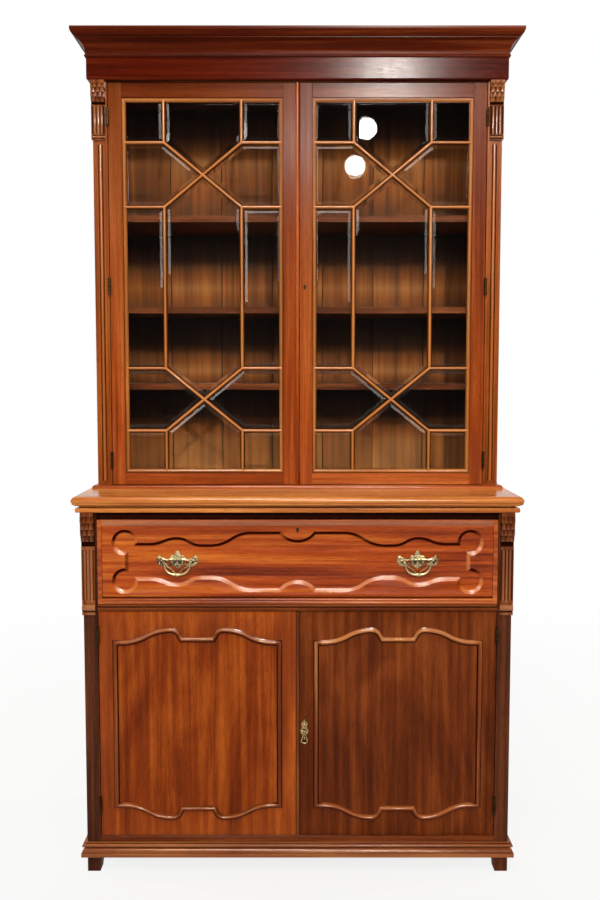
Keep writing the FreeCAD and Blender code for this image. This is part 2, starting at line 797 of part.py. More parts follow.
def bookcase_case(hinge_recesses):
    """The carcase of the glazed upper part."""
    boards = [
        ("book_floor_board", (behind_book_door, back_face), (desk_high, book_floor_top)),
        ("book_top_board", (behind_upper_post, back_face), (frieze_low, frieze_low + book_top))]
    housings = []
    pieces = []
    for name, depth, level in boards:
        reach = upper_inner + housing
        pieces.append(board(name, (-reach, reach), depth, level))
        housings.append(board(f"{name}_housing", (upper_inner, reach), depth, level))
    between = (-upper_post_inner, upper_post_inner)
    pieces.append(board("book_bottom_rail", between, (upper_front, behind_book_door), (desk_high, bead_top)))
    pieces.append(board("book_top_rail", between, (upper_front, behind_upper_post),
                        (book_high + door_gap, cap_low)))
    pieces.append(board("cap_board_piece", (-upper_half, upper_half), (upper_front, y_back),
                        (cap_low, cap_high)))
    node("bookcase_boards", pieces)
    side = cut("book_side", board("book_side_blank", (upper_inner, upper_half), (behind_upper_post, y_back),
                                  (desk_high, cap_low)), housings)
    node("bookcase_sides", pair("book_side", side))
    middle = (upper_post_inner + upper_half) / 2
    reed_high = frieze_low - upper_corbel_height - upper_flute_height - upper_fillet_height - reed_margin
    grooves = []
    for place, start in enumerate((middle - reed_width / 2 - reed_groove, middle + reed_width / 2)):
        grooves.append(board(f"reed_groove_{place}", (start, start + reed_groove),
                             (upper_front, upper_front + reed_depth), (bead_top + reed_margin, reed_high)))
    post = cut("book_post", board("book_post_blank", (upper_post_inner, upper_half),
                                  (upper_front, behind_upper_post), (desk_high, cap_low)),
               hinge_recesses + grooves)
    node("bookcase_posts", pair("book_post", post))
    node("bookcase_back_boards", back_boards("book_back", upper_inner, desk_high, cap_low, BOOK_BOARD_COUNT))


def bookcase_mouldings():
    """The bead at the bookcase's foot, the frieze over its doors and the cornice."""
    mitred_frame("bookcase_base_bead", [
        (ZERO, desk_high),
        (base_bead_reach, desk_high),
        (base_bead_reach, bead_top - base_bead_round),
        (base_bead_reach - base_bead_round, bead_top, base_bead_round),
        (ZERO, bead_top),
    ], upper_half, upper_front, ZERO, base_bead_reach, desk_high, bead_top)
    mitred_frame("frieze_boards", [
        (ZERO, frieze_low),
        (frieze_reach - frieze_round, frieze_low),
        (frieze_reach, frieze_low + frieze_round, frieze_round),
        (frieze_reach, frieze_high),
        (ZERO, frieze_high),
    ], upper_half, upper_front, ZERO, frieze_reach, frieze_low, frieze_high)
    bead = frieze_high + cornice_bead
    cavetto = bead + cornice_cavetto
    step = cavetto + cornice_step
    ovolo = step + cornice_ovolo
    neck = frieze_reach + cornice_bead_reach
    hollow = cornice_cavetto_reach - neck + cornice_cavetto / 2
    shoulder = cornice_cavetto_reach + cornice_step_reach
    mitred_frame("cornice_moulding", [
        (ZERO, frieze_high),
        (frieze_reach, frieze_high),
        (frieze_reach + cornice_bead / 2, frieze_high + cornice_bead / 2, cornice_bead / 2),
        (frieze_reach, bead, cornice_bead / 2),
        (neck, bead),
        (cornice_cavetto_reach, cavetto, -hollow),
        (shoulder, cavetto),
        (shoulder, step),
        (cornice_reach, ovolo, cornice_reach - shoulder + cornice_ovolo / 2),
        (cornice_reach, cornice_top),
        (ZERO, cornice_top),
    ], upper_half, upper_front, ZERO, cornice_reach, frieze_high, cornice_top)


def bookcase_pilasters():
    """The fluted blocks, fillets and corbels planted at the head of the bookcase posts."""
    x_low = upper_post_inner + trim_inset
    x_high = upper_half + trim_over
    corbel_low = frieze_low - upper_corbel_height
    flute_low = corbel_low - upper_flute_height
    face = upper_front - flute_block_reach
    block = cut("book_flute_block", board("book_flute_blank", (x_low, x_high), (face, upper_front),
                                          (flute_low, corbel_low)),
                flute_tools("book", x_low, x_high, face, flute_low, corbel_low))
    fillet = prism("book_fillet", "x", [
        (upper_front, flute_low - upper_fillet_height),
        (upper_front, flute_low),
        (upper_front - upper_fillet_reach, flute_low),
        (upper_front - upper_fillet_reach, flute_low - upper_fillet_height / 2),
        (upper_front - trim_over, flute_low - upper_fillet_height, upper_fillet_reach + upper_fillet_height),
    ], x_low, x_high)
    node("bookcase_pilaster_trim", pair("book_flute_block", block) + pair("book_fillet", fillet))
    bracket = corbel("book_corbel", x_low, x_high, upper_front, corbel_low, frieze_low, upper_corbel_foot,
                     upper_corbel_block, upper_corbel_throat, upper_corbel_reach)
    node("bookcase_corbels", pair("book_corbel", bracket))


def shelves_and_bearers():
    """Loose shelves on bearers that are screwed to the sides, in the cupboard and the bookcase."""
    spaces = [
        ("cupboard", inner_half, door_face + door_thickness, cupboard_floor, [cupboard_shelf_height]),
        ("book", upper_inner, book_face + door_thickness, book_floor_top,
         [book_shelf_one, book_shelf_two, book_shelf_three])]
    shelves = []
    bearers = []
    for name, reach, door_back, floor, heights in spaces:
        y_low = door_back + shelf_setback
        for place, height in enumerate(heights):
            level = floor + height
            shelves.append(board(f"{name}_shelf_{place}", (shelf_clearance - reach, reach - shelf_clearance),
                                 (y_low, back_face), (level, level + shelf_board)))
            bearer = board(f"{name}_bearer_{place}", (reach - bearer_width, reach),
                           (y_low + bearer_setback, back_face), (level - bearer_height, level))
            bearers += pair(bearer.Name, bearer)
    node("shelves", shelves)
    node("shelf_bearers", bearers)


def glazing_line(name, start, end, y, width, nose):
    """A straight bar between two points of a door's face, nose wide in front and width wide behind. Each
    end runs past its point by half of nose."""
    run = end[0] - start[0]
    rise = end[1] - start[1]
    bar = doc.addObject("Part::Wedge", name)
    bar.Placement = Placement(Vector(), Rotation(Vector(0, 1, 0), 45))
    bind(bar, "Placement.Rotation.Angle", Size(f"atan2({text_of(run)}; {text_of(rise)})"))
    for axis, place in zip("xyz", (start[0], y[0], start[1])):
        bind(bar, f"Placement.Base.{axis}", place)
    first = -nose / 2
    last = root(run * run + rise * rise) + nose / 2
    for path, size in (("Xmin", -nose / 2), ("Xmax", nose / 2), ("X2min", -width / 2), ("X2max", width / 2),
                       ("Ymin", ZERO), ("Ymax", y[1] - y[0]), ("Zmin", first), ("Zmax", last),
                       ("Z2min", first), ("Z2max", last)):
        bind(bar, path, size)
    return bar


def lattice_lines(x_low, x_high, z_low, z_high, inset):
    """The start and end of each glazing bar of one door. The outer ends stop short of the opening's
    edges by inset."""
    middle = (x_low + x_high) / 2
    left = middle - bar_offset
    right = middle + bar_offset
    levels = [z_low + lattice_end, z_low + lattice_end + lattice_cross,
              z_high - lattice_end - lattice_cross, z_high - lattice_end]
    lines = []
    for x in (left, right):
        lines += [((x, z_low + inset), (x, levels[0])), ((x, levels[1]), (x, levels[2])),
                  ((x, levels[3]), (x, z_high - inset))]
    for level in levels:
        lines += [((x_low + inset, level), (left, level)), ((right, level), (x_high - inset, level))]
    for low, high in ((levels[0], levels[1]), (levels[2], levels[3])):
        lines += [((left, low), (right, high)), ((left, high), (right, low))]
    return lines


def glazed_door(name, x_low, x_high, low_stile, high_stile, hinge_recesses, extra_cuts):
    """A bookcase door: stiles and tenoned rails, a lattice of glazing bars and the panes behind it.
    low_stile and high_stile are the widths of the stiles at x_low and x_high."""
    face = book_face
    back = face + door_thickness
    open_low = x_low + low_stile
    open_high = x_high - high_stile
    z_low = book_low + bottom_door_rail
    z_high = book_high - top_door_rail
    tenon_y = (face + (door_thickness - tenon_thickness) / 2, face + (door_thickness + tenon_thickness) / 2)
    rails = []
    mortises = []
    for place, (start, stop) in enumerate([(book_low, z_low), (z_high, book_high)]):
        spans = ((open_low - tenon_length, open_high + tenon_length), tenon_y,
                 (start + tenon_shoulder, stop - tenon_shoulder))
        rails.append(fuse(f"{name}_rail_{place}", [
            board(f"{name}_rail_body_{place}", (open_low, open_high), (face, back), (start, stop)),
            board(f"{name}_tenon_{place}", *spans)]))
        mortises.append(board(f"{name}_mortise_{place}", *spans))
    stiles = []
    for place, span in enumerate([(x_low, open_low), (open_high, x_high)]):
        blank = board(f"{name}_stile_blank_{place}", span, (face, back), (book_low, book_high))
        stiles.append(cut(f"{name}_stile_{place}", blank, mortises + hinge_recesses + extra_cuts))
    bar_face = face + glass_bead_setback
    glass_face = bar_face + bar_depth
    glass_back = glass_face + glass
    fillet_y = (glass_back, back)
    fillets = []
    for place, span in enumerate([(z_low, z_low + glass_fillet), (z_high - glass_fillet, z_high)]):
        fillets.append(board(f"{name}_fillet_end_{place}", (open_low, open_high), fillet_y, span))
    fillet_x = [(open_low, open_low + glass_fillet), (open_high - glass_fillet, open_high)]
    for place, span in enumerate(fillet_x):
        fillets.append(board(f"{name}_fillet_side_{place}", span, fillet_y,
                             (z_low + glass_fillet, z_high - glass_fillet)))
    node(f"{name}_door_frame", stiles + rails + fillets)
    ring = cut(f"{name}_bead_ring", board(
        f"{name}_bead_blank", (open_low, open_high), (bar_face, glass_face), (z_low, z_high)), [
        board(f"{name}_sight", (open_low + glass_bead, open_high - glass_bead), (bar_face, glass_face),
              (z_low + glass_bead, z_high - glass_bead))])
    inset = glass_bead / 2
    lines = lattice_lines(open_low, open_high, z_low, z_high, inset)
    bars = [ring]
    bar_y = (bar_face, glass_face)
    web_y = (glass_face, glass_back)
    for place, (start, end) in enumerate(lines):
        bars.append(glazing_line(f"{name}_bar_{place}", start, end, bar_y, bar_width, bar_nose))
        bars.append(glazing_line(f"{name}_web_{place}", start, end, web_y, bar_web, bar_web))
    node(f"{name}_glazing_bars", [fuse(f"{name}_lattice", bars)])
    plate = board(f"{name}_plate", (open_low + glass_clearance, open_high - glass_clearance),
                  (glass_face, glass_back), (z_low + glass_clearance, z_high - glass_clearance))
    slot = bar_web + glass_clearance * 2
    slots = fuse(f"{name}_slots", [
        glazing_line(f"{name}_slot_{place}", start, end, web_y, slot, slot)
        for place, (start, end) in enumerate(lattice_lines(open_low, open_high, z_low, z_high, ZERO))])
    node(f"{name}_panes", [cut(f"{name}_glass", plate, [slots])])


def bookcase_doors(hinges):
    """The pair of glazed doors, the bead that covers their meeting and the lock in the right-hand one."""
    edge = upper_post_inner - side_gap
    bead = book_bead_width / 2
    right_low = bead + side_gap
    recesses = hinges["door_recesses"]
    lock_x = right_low + lock_width / 2 + door_gap
    lock_z = (book_low + book_high) / 2
    lock, lock_recess = lock_case("upper_lock", lock_x, lock_z, book_face + door_thickness)
    lock_eye = keyhole("upper_keyhole", lock_x, lock_z, book_face, door_thickness - lock_depth)
    glazed_door("upper_left", -edge, -bead, outer_stile, meeting_stile, left_hand(recesses), [])
    lock_cuts = [lock_recess, lock_eye]
    glazed_door("upper_right", right_low, edge, meeting_stile, outer_stile, recesses, lock_cuts)
    node("upper_left_hinge_leaves", left_hand(hinges["door_halves"]))
    node("upper_right_hinge_leaves", hinges["door_halves"])
    node("upper_door_lock", [lock])
    node("upper_meeting_bead", [meeting_strip("upper_strip", bead, book_face, book_low, book_high)])


def meeting_strip(name, reach, face, low, high):
    """The round-nosed strip on a left-hand door's edge that covers the gap between a pair of doors."""
    nose = (reach * reach + meeting_bead_proud * meeting_bead_proud) / meeting_bead_proud / 2
    back = face + door_thickness
    return prism(name, "z", [(-reach, back), (-reach, face), (reach, face, nose), (reach, back)], low, high)


def left_hand(pieces):
    """The left-hand twins of some right-hand pieces."""
    return [mirrored(f"{piece.Name}_left", piece) for piece in pieces]


def turned_back(path):
    """A path walked the other way."""
    back = []
    for place in range(len(path) - 1, -1, -1):
        bend = path[place + 1][2:] if place + 1 < len(path) else ()
        back.append((*path[place][:2], *[-radius for radius in bend]))
    return back


def flipped(path, across):
    """A path mirrored in x = 0 or in y = 0."""
    signs = (-1, 1) if across == "x" else (1, -1)
    return [(corner[0] * signs[0], corner[1] * signs[1], *[-radius for radius in corner[2:]])
            for corner in path]


def shifted(path, x, y):
    """A path moved by x and y."""
    return [(corner[0] + x, corner[1] + y, *corner[2:]) for corner in path]


def serpentine_edge(reach, offset):
    """One edge of a shaped length of moulding, from left to right. The middle line starts at x = -reach
    and y = 0, rises in an S-curve to a crest, drops past a quick turn to a flat and mirrors itself. The
    edge is offset from that line, to its left where offset is positive."""
    run = reach - mould_run - mould_crest_offset
    swing = (run * run + mould_crest * mould_crest) / mould_crest / 4
    slope = mould_crest / run
    turn_sine = slope * 2 / (slope * slope + 1)
    turn_cosine = (-(slope * slope) + 1) / (slope * slope + 1)
    drop_sine = Size(f"sin({mould_drop_angle.text} * 1 deg)")
    drop_cosine = Size(f"cos({mould_drop_angle.text} * 1 deg)")
    half_tangent = Size(f"tan({mould_drop_angle.text} * 0.5 deg)")
    quick = mould_crest_radius + offset
    line_end = mould_crest - mould_crest_radius + mould_crest_radius * drop_cosine
    flat_x = (mould_crest_radius * drop_sine + (line_end - mould_flat_rise) * drop_cosine / drop_sine
              - mould_crest_offset)
    left = [
        (-reach - offset, offset + 0),
        (-reach + mould_run, offset + 0),
        (-reach + mould_run + run / 2 - offset * turn_sine, mould_crest / 2 + offset * turn_cosine,
         swing - offset),
        (-mould_crest_offset, mould_crest + offset, -(swing + offset)),
        (quick * drop_sine - mould_crest_offset, mould_crest - mould_crest_radius + quick * drop_cosine,
         -quick),
        (flat_x + offset * half_tangent, mould_flat_rise + offset),
    ]
    return left + turned_back(flipped(left, "x"))


def panel_moulding(name, x_low, x_high):
    """The raised moulding on one cupboard door: two straight sides and two shaped ends, mitred."""
    middle = (x_low + x_high) / 2
    reach = (x_high - x_low) / 2 - mould_margin_side
    side = mould_width / 2
    top = door_high - mould_margin_end
    bottom = door_low + mould_margin_end
    outline = serpentine_edge(reach, -side) + turned_back(serpentine_edge(reach, side))
    outlines = [shifted(outline, middle, top), shifted(flipped(outline, "y"), middle, bottom)]
    for sign in (-1, 1):
        x = middle + reach * sign
        outlines.append([(x + side * sign, bottom - side), (x + side * sign, top + side),
                         (x - side * sign, top - side), (x - side * sign, bottom + side)])
    pieces = []
    for place, corners in enumerate(outlines):
        length = prism(f"{name}_length_{place}", "y", corners, door_face - mould_depth, door_face)
        face = -float(mould_depth)
        shown = edges_where(length.Tip, lambda box: near(box.YMin, face) and near(box.YMax, face)
                            and not near(box.XLength, box.ZLength))
        dress(length, "Chamfer", f"{name}_bevel_{place}", shown, mould_bevel)
        pieces.append(length)
    node(f"{name}_moulding", pieces)


def cupboard_doors(hinges):
    """The pair of flush doors below the drawer, the strip at their meeting and the drop handle."""
    edge = post_inner - side_gap
    bead = cupboard_bead_width / 2
    recesses = hinges["door_recesses"]
    sides = [("base_left_door", -edge, -bead, left_hand(recesses)),
             ("base_right_door", bead + side_gap, edge, recesses)]
    for name, x_low, x_high, cuts in sides:
        blank = board(f"{name}_blank", (x_low, x_high), (door_face, door_face + door_thickness),
                      (door_low, door_high))
        node(f"{name}_panel", [cut(f"{name}_slab", blank, cuts)])
        panel_moulding(name, x_low, x_high)
    node("base_left_hinge_leaves", left_hand(hinges["door_halves"]))
    node("base_right_hinge_leaves", hinges["door_halves"])
    node("base_meeting_bead", [meeting_strip("base_strip", bead, door_face, door_low, door_high)])
    drop_handle(bead + side_gap + drop_inset, door_low + drop_height)


def drop_handle(x, z):
    """A pointed plate with two ears, and the ring that hangs from a pin between them."""
    up = (drop_plate_half * drop_plate_half + drop_plate_up * drop_plate_up) / drop_plate_half / 2
    down = (drop_plate_half * drop_plate_half + drop_plate_down * drop_plate_down) / drop_plate_half / 2
    plate = prism("drop_plate", "y", [
        (x, z + drop_plate_up, up), (x - drop_plate_half, z, up), (x, z - drop_plate_down, down),
        (x + drop_plate_half, z, down)], door_face - drop_plate_thickness, door_face)
    y = door_face - drop_standoff
    outer = drop_eye_width / 2 + drop_ear
    ears = [barrel("drop_pivot", "x", (x - outer, y, z), outer * 2, drop_pin)]
    for place, start in enumerate((x - outer, x + drop_eye_width / 2)):
        ears.append(board(f"drop_ear_{place}", (start, start + drop_ear),
                          (y, door_face - drop_plate_thickness), (z - drop_eye, z + drop_eye)))
        ears.append(rod(f"drop_ear_nose_{place}", "x", (start, y, z), drop_ear, drop_eye))
    node("drop_handle_plate", [plate, fuse("drop_ears", ears)])
    eye = drop_eye_width / 2 - hinge_end_play
    centre = z - drop_stem - drop_ring
    thick = (x, y - drop_wire, centre)
    ring = cut("drop_ring_piece", rod("drop_ring_disc", "y", thick, drop_wire * 2, drop_ring + drop_wire),
               [rod("drop_ring_hole", "y", thick, drop_wire * 2, drop_ring - drop_wire)])
    barrel_piece = rod("drop_eye_barrel", "x", (x - eye, y, z), eye * 2, drop_eye)
    shank = board("drop_shank", (x - drop_wire, x + drop_wire), (y - drop_wire, y + drop_wire),
                  (z - drop_stem, z))
    body = fuse("drop_body", [ring, barrel_piece, shank])
    bore = barrel("drop_bore", "x", (x - outer, y, z), outer * 2, bore_for(drop_pin))
    node("drop_handle", [cut("drop_bored", body, [bore])])


def hinge_set(name, edge, post_face, leaf_face, heights):
    """Right-hand hinges at some heights, with the recesses for their leaves."""
    made = [butt_hinge(f"{name}_hinge_{place}", edge, post_face, leaf_face, height)
            for place, height in enumerate(heights)]
    kinds = ("frame_halves", "door_halves", "frame_recesses", "door_recesses")
    return dict(zip(kinds, (list(kind) for kind in zip(*made))))


drawer_half = post_inner - drawer_side_gap
drawer_inner = drawer_half - drawer_side
drawer_face = front + strip_depth
drawer_back = drawer_face + drawer_length
drawer_inside = drawer_back - drawer_side
drawer_top = drawer_high - drawer_head
bed_low = drawer_low + bottom_strip
fall_half = drawer_inner - fall_gap
fall_low = bed_low + fall_gap
fall_inside = front + fall_thickness
fall_radius = fall_thickness / 2
pivot_y = front + fall_radius
pivot_z = fall_low + fall_radius
bed_top = fall_low + fall_thickness
sunk_face = front + sunk_depth
panel_z = fall_low + panel_centre
lobe_out = fall_half - lobe_inset
shoulder_out = lobe_out - lobe_radius - lobe_flat
swell_middle = (lobe_out - lobe_radius + ridge_out) / 2
crest_out = swell_middle + crest_shift
cusp_out = swell_middle - cusp_shift
cusp_in = cusp_out - cusp_flat


def drawer_case():
    """The drawer: two sides, a back, a bottom and a bed that the open fall lies level with."""
    plate_y = (pivot_y - pivot_plate, pivot_y + pivot_plate)
    plate_z = (pivot_z - pivot_plate, pivot_z + pivot_plate)
    plate_x = (drawer_inner, drawer_inner + pivot_plate_depth)
    recess = board("pivot_recess", plate_x, plate_y, plate_z)
    side = cut("drawer_side_piece", board("drawer_side_blank", (drawer_inner, drawer_half),
                                          (drawer_face, drawer_back), (rail_high, drawer_top)), [recess])
    across = (-drawer_inner, drawer_inner)
    node("drawer_box", pair("drawer_side_piece", side) + [
        board("drawer_back_piece", across, (drawer_inside, drawer_back), (drawer_low, drawer_top)),
        board("drawer_bottom_piece", across, (drawer_face, drawer_inside), (drawer_low, bed_low))])
    pin_start = (drawer_inner - fall_pin_length, pivot_y, pivot_z)
    pivot = fuse("pivot", [
        board("pivot_base", plate_x, plate_y, plate_z),
        barrel("pivot_pin", "x", pin_start, fall_pin_length, fall_pin)])
    node("fall_pivots", pair("pivot", pivot))
    strip = board("side_strip", (drawer_inner, drawer_half), (front - strip_proud, drawer_face),
                  (drawer_low, drawer_high))
    reed = bottom_strip / 4
    swell = (reed * reed + strip_reed * strip_reed) / strip_reed / 2
    groove = front - strip_proud + strip_reed
    bottom = prism("bottom_strip_piece", "x", [
        (drawer_face, drawer_low), (drawer_face, bed_low), (groove, bed_low),
        (groove, drawer_low + reed * 2, swell), (groove, drawer_low, swell)], -drawer_inner, drawer_inner)
    node("drawer_front_strips", pair("side_strip", strip) + [bottom])
    cove = root(fall_radius * fall_radius * 2) + cove_clearance
    lower = fall_radius + fall_gap
    bed = prism("bed", "x", [
        (drawer_inside, bed_low),
        (drawer_inside, bed_top),
        (pivot_y + root(cove * cove - fall_radius * fall_radius), bed_top),
        (pivot_y + root(cove * cove - lower * lower), bed_low, -cove),
    ], -drawer_inner, drawer_inner)
    node("writing_bed", [bed])


def s_curve(start, end):
    """Two equal arcs from start to end that leave and arrive level."""
    run = end[0] - start[0]
    rise = end[1] - start[1]
    bend = (run * run + rise * rise) / rise / 4
    middle = (start[0] + run / 2, start[1] + rise / 2)
    return [(*middle, bend), (*end, -bend)]


def sunk_outline():
    """The outline of the fall's sunk panel about its own centre: lobed corners, two crests on each side
    of the middle and a dip at the middle, the same above and below."""
    lobe_x = -lobe_out
    shoulder = (-shoulder_out, lobe_rise + 0)
    crest = (-crest_out, crest_rise + 0)
    cusp = (-cusp_out, cusp_rise + 0)
    ridge = (-ridge_out, ridge_rise + 0)
    quarter = [
        (lobe_x, lobe_rise - lobe_radius),
        (lobe_x - lobe_radius, lobe_rise + 0, -lobe_radius),
        (lobe_x, lobe_rise + lobe_radius, -lobe_radius),
        (lobe_x + lobe_radius, lobe_rise + 0, -lobe_radius),
        shoulder,
        *s_curve(shoulder, crest),
        *s_curve(crest, cusp),
        (-cusp_in, cusp_rise + 0),
        *s_curve((-cusp_in, cusp_rise + 0), ridge),
        (-ridge_in, ridge_rise + 0),
    ]
    dip = (ridge_in * ridge_in + dip_depth * dip_depth) / dip_depth / 2
    other = turned_back(flipped(quarter, "x"))
    other[0] = (*other[0][:2], dip)
    top = quarter + other
    return top + turned_back(flipped(top, "y"))


def fall_front():
    """The fall: a panel with a sunk shaped field, a planted bead, a writing leather, lock and stays."""
    section = [
        (fall_inside, fall_low), (fall_inside, drawer_high), (front, drawer_high),
        (front, fall_low + fall_radius), (front + fall_radius, fall_low, fall_radius)]
    blank = prism("fall_blank", "x", section, -fall_half, fall_half)
    field = prism("sunk_field", "y", shifted(sunk_outline(), ZERO, panel_z), front, sunk_face)
    depth = fall_pin_length + fall_pin_play
    bore = barrel("fall_bore", "x", (drawer_inner - depth, pivot_y, pivot_z), depth, bore_for(fall_pin))
    reach = fall_half - leather_margin
    skin = ((-reach, reach), (fall_inside - leather, fall_inside),
            (fall_low + leather_margin, drawer_high - leather_margin))
    lock_x = (-lock_height / 2, lock_height / 2)
    lock_z = (drawer_high - fall_lock_height, drawer_high)
    lock_y = (fall_inside - lock_depth, fall_inside)
    eye = keyhole("fall_keyhole", ZERO, drawer_high - fall_key_drop, front, fall_thickness - lock_depth)
    panel = cut("fall_cut", blank, [field, *pair("fall_bore", bore), board("leather_recess", *skin),
                                    board("fall_lock_recess", lock_x, lock_y, lock_z), eye])
    node("fall_panel", [panel])
    node("writing_leather", [board("leather_skin", *skin)])
    node("fall_lock", [board("fall_lock_case", lock_x, lock_y, lock_z)])
    bead_low = drawer_high - bead_height
    bead = prism("top_bead", "x", [
        (front, bead_low, bead_proud + bead_height), (front, drawer_high), (front - bead_proud, drawer_high),
        (front - bead_proud, drawer_high - bead_height / 2)], -fall_half, fall_half)
    node("fall_top_bead", [bead])
    node("quadrant_stays", pair("stay", quadrant_stay()))


def quadrant_stay():
    """A right-hand brass stay: a flat arc about the fall's pivot, with a foot on the fall."""
    outer = stay_radius + stay_width / 2
    inner = stay_radius - stay_width / 2
    tail = fall_radius + stay_tail
    start = fall_radius

    def along(radius, cross):
        return root(radius * radius - cross * cross)

    x_high = fall_half - stay_clearance
    arc = prism("stay_arc", "x", [
        (pivot_y + start, pivot_z + along(inner, start), inner),
        (pivot_y + start, pivot_z + along(outer, start)),
        (pivot_y + along(outer, tail), pivot_z + tail, -outer),
        (pivot_y + along(inner, tail), pivot_z + tail),
    ], x_high - stay_thickness, x_high)
    foot_y = (fall_inside, fall_inside + stay_foot_plate)
    foot = board("stay_foot_piece", (x_high - stay_foot, x_high), foot_y,
                 (pivot_z + inner - stay_width / 2, pivot_z + outer + stay_width / 2))
    return fuse("stay", [arc, foot])


def pigeonholes():
    """The fitted case at the back of the drawer, with a small drawer in each outer bay."""
    outer = drawer_inner - case_gap
    y = (drawer_inside - case_length, drawer_inside)
    floor = bed_top + case_board
    ceiling = bed_top + case_height - case_board
    wall_high = outer - case_board
    wall_low = wall_high - nest_bay
    upright = (floor, ceiling)
    pieces = [
        board("case_floor", (-outer, outer), y, (bed_top, floor)),
        board("case_ceiling", (-outer, outer), y, (ceiling, ceiling + case_board))]
    divider_low = wall_low - case_board
    hole = (divider_low * 2 - case_board * 2) / 3
    right = [
        board("case_end", (wall_high, outer), y, upright),
        board("case_bay_wall", (divider_low, wall_low), y, upright),
        board("case_divider", (hole / 2, hole / 2 + case_board), y, upright),
        board("case_bay_shelf", (wall_low, wall_high), y,
              (floor + nest_height, floor + nest_height + case_board))]
    node("pigeonhole_case", pieces + [piece for item in right for piece in pair(item.Name, item)])
    drawer = nest_drawer(wall_low + nest_gap, wall_high - nest_gap, y, floor)
    node("nest_drawer_right", drawer)
    node("nest_drawer_left", left_hand(drawer))


def nest_drawer(x_low, x_high, y, floor):
    """A small drawer of five boards, the front one with a turned knob."""
    high = floor + nest_height - nest_gap
    face = y[0] + nest_gap
    back = y[1] - nest_gap
    inside = face + nest_front
    x = (x_low + x_high) / 2
    z = (floor + high) / 2
    knob_y = face - nest_knob_length + nest_knob
    front_board = fuse("nest_front_and_knob", [
        board("nest_front_piece", (x_low, x_high), (face, inside), (floor, high)),
        rod("nest_knob_stem", "y", (x, knob_y, z), face - knob_y + nest_front / 2, nest_knob_neck),
        rod("nest_knob_head", "y", (x, face - nest_knob_length, z), nest_knob, nest_knob)])
    walls = [(x_low, x_low + nest_wall), (x_high - nest_wall, x_high)]
    across = (walls[0][1], walls[1][0])
    sides = [board(f"nest_side_{place}", span, (inside, back), (floor, high))
             for place, span in enumerate(walls)]
    return [front_board, *sides,
            board("nest_back_piece", across, (back - nest_wall, back), (floor, high)),
            board("nest_bottom_piece", across, (inside, back - nest_wall), (floor, floor + nest_wall))]


def bail_handles():
    """Two brass plates with a pair of posts each, and the bails that swing between the posts."""
    x = crest_out
    y = sunk_face - bail_standoff
    post_x = bail_radius + bail_wire + bail_play + bail_post
    right = [
        (ZERO, -plate_point),
        (plate_waist + 0, -plate_sill, -plate_scallop),
        (plate_half + 0, -plate_wing, plate_under + 0),
        (post_x, plate_wing + 0, plate_shoulder + 0),
        (plate_waist + 0, plate_sill + 0, -plate_brow),
        (plate_crown_half + 0, plate_crown_foot + 0),
        (ZERO, plate_crown + 0, plate_crown_round + 0),
    ]
    outline = right[1:] + turned_back(flipped(right, "x"))[1:]
    plate_face = sunk_face - plate_thickness
    blank = prism("bail_plate_blank", "y", shifted(outline, x, panel_z), plate_face, sunk_face)
    holes = [rod(f"bail_plate_hole_{place}", "y", (side, plate_face, panel_z), plate_thickness, plate_hole)
             for place, side in enumerate((x - plate_waist, x + plate_waist))]
    plate = cut("bail_plate", blank, holes)
    reach = post_x + bail_post / 2
    bore = barrel("bail_bore", "x", (x - reach - bail_play, y, panel_z), (reach + bail_play) * 2,
                  bore_for(bail_pin))
    pieces = [plate]
    length = bail_standoff + bail_post - plate_thickness
    for place, side in enumerate((x - post_x, x + post_x)):
        post = rod(f"bail_post_blank_{place}", "y", (side, y - bail_post, panel_z), length, bail_post)
        pieces.append(cut(f"bail_post_{place}", post, [bore]))
    node("handle_plates", pieces + left_hand(pieces))
    outer = bail_radius + bail_wire
    inner = bail_radius - bail_wire
    hoop = prism("bail_hoop", "y", shifted([
        (-outer, ZERO), (ZERO, -outer, outer), (outer, ZERO, outer), (inner, ZERO), (ZERO, -inner, -inner),
        (-inner, ZERO, -inner)], x, panel_z), y - bail_wire, y + bail_wire)
    rims = edges_where(hoop.Tip, lambda box: near(box.YLength, 0) and box.ZLength > float(bail_wire))
    dress(hoop, "Chamfer", "bail_hoop_bevel", rims, bail_bevel)
    eyes = [rod(f"bail_eye_{place}", "x", (start, y, panel_z), bail_wire * 2, bail_wire)
            for place, start in enumerate((x - outer, x + inner))]
    pins = [barrel(f"bail_pin_{place}", "x", (start, y, panel_z), reach - bail_radius, bail_pin)
            for place, start in enumerate((x - reach, x + bail_radius))]
    knop = rod("bail_knop", "x", (x - bail_knop / 2, y, panel_z - bail_radius), bail_knop, bail_knop_radius)
    bail = fuse("bail", [hoop, knop, *eyes, *pins])
    node("bail_right", [bail])
    node("bail_left", left_hand([bail]))


def write_parts():
    """Check every object and write each sub-part to its own file."""
    doc.recompute()
    for item in doc.Objects:
        if "Invalid" in item.State or "Error" in item.State:
            raise SystemExit(f"{item.Name} did not build: {item.State}")
    os.makedirs("parts", exist_ok=True)
    for item in nodes:
        if item.Shape.isNull() or not item.Shape.isValid():
            raise SystemExit(f"{item.Label} has no sound shape")
        item.Shape.exportStep(f"parts/{item.Label}.step")


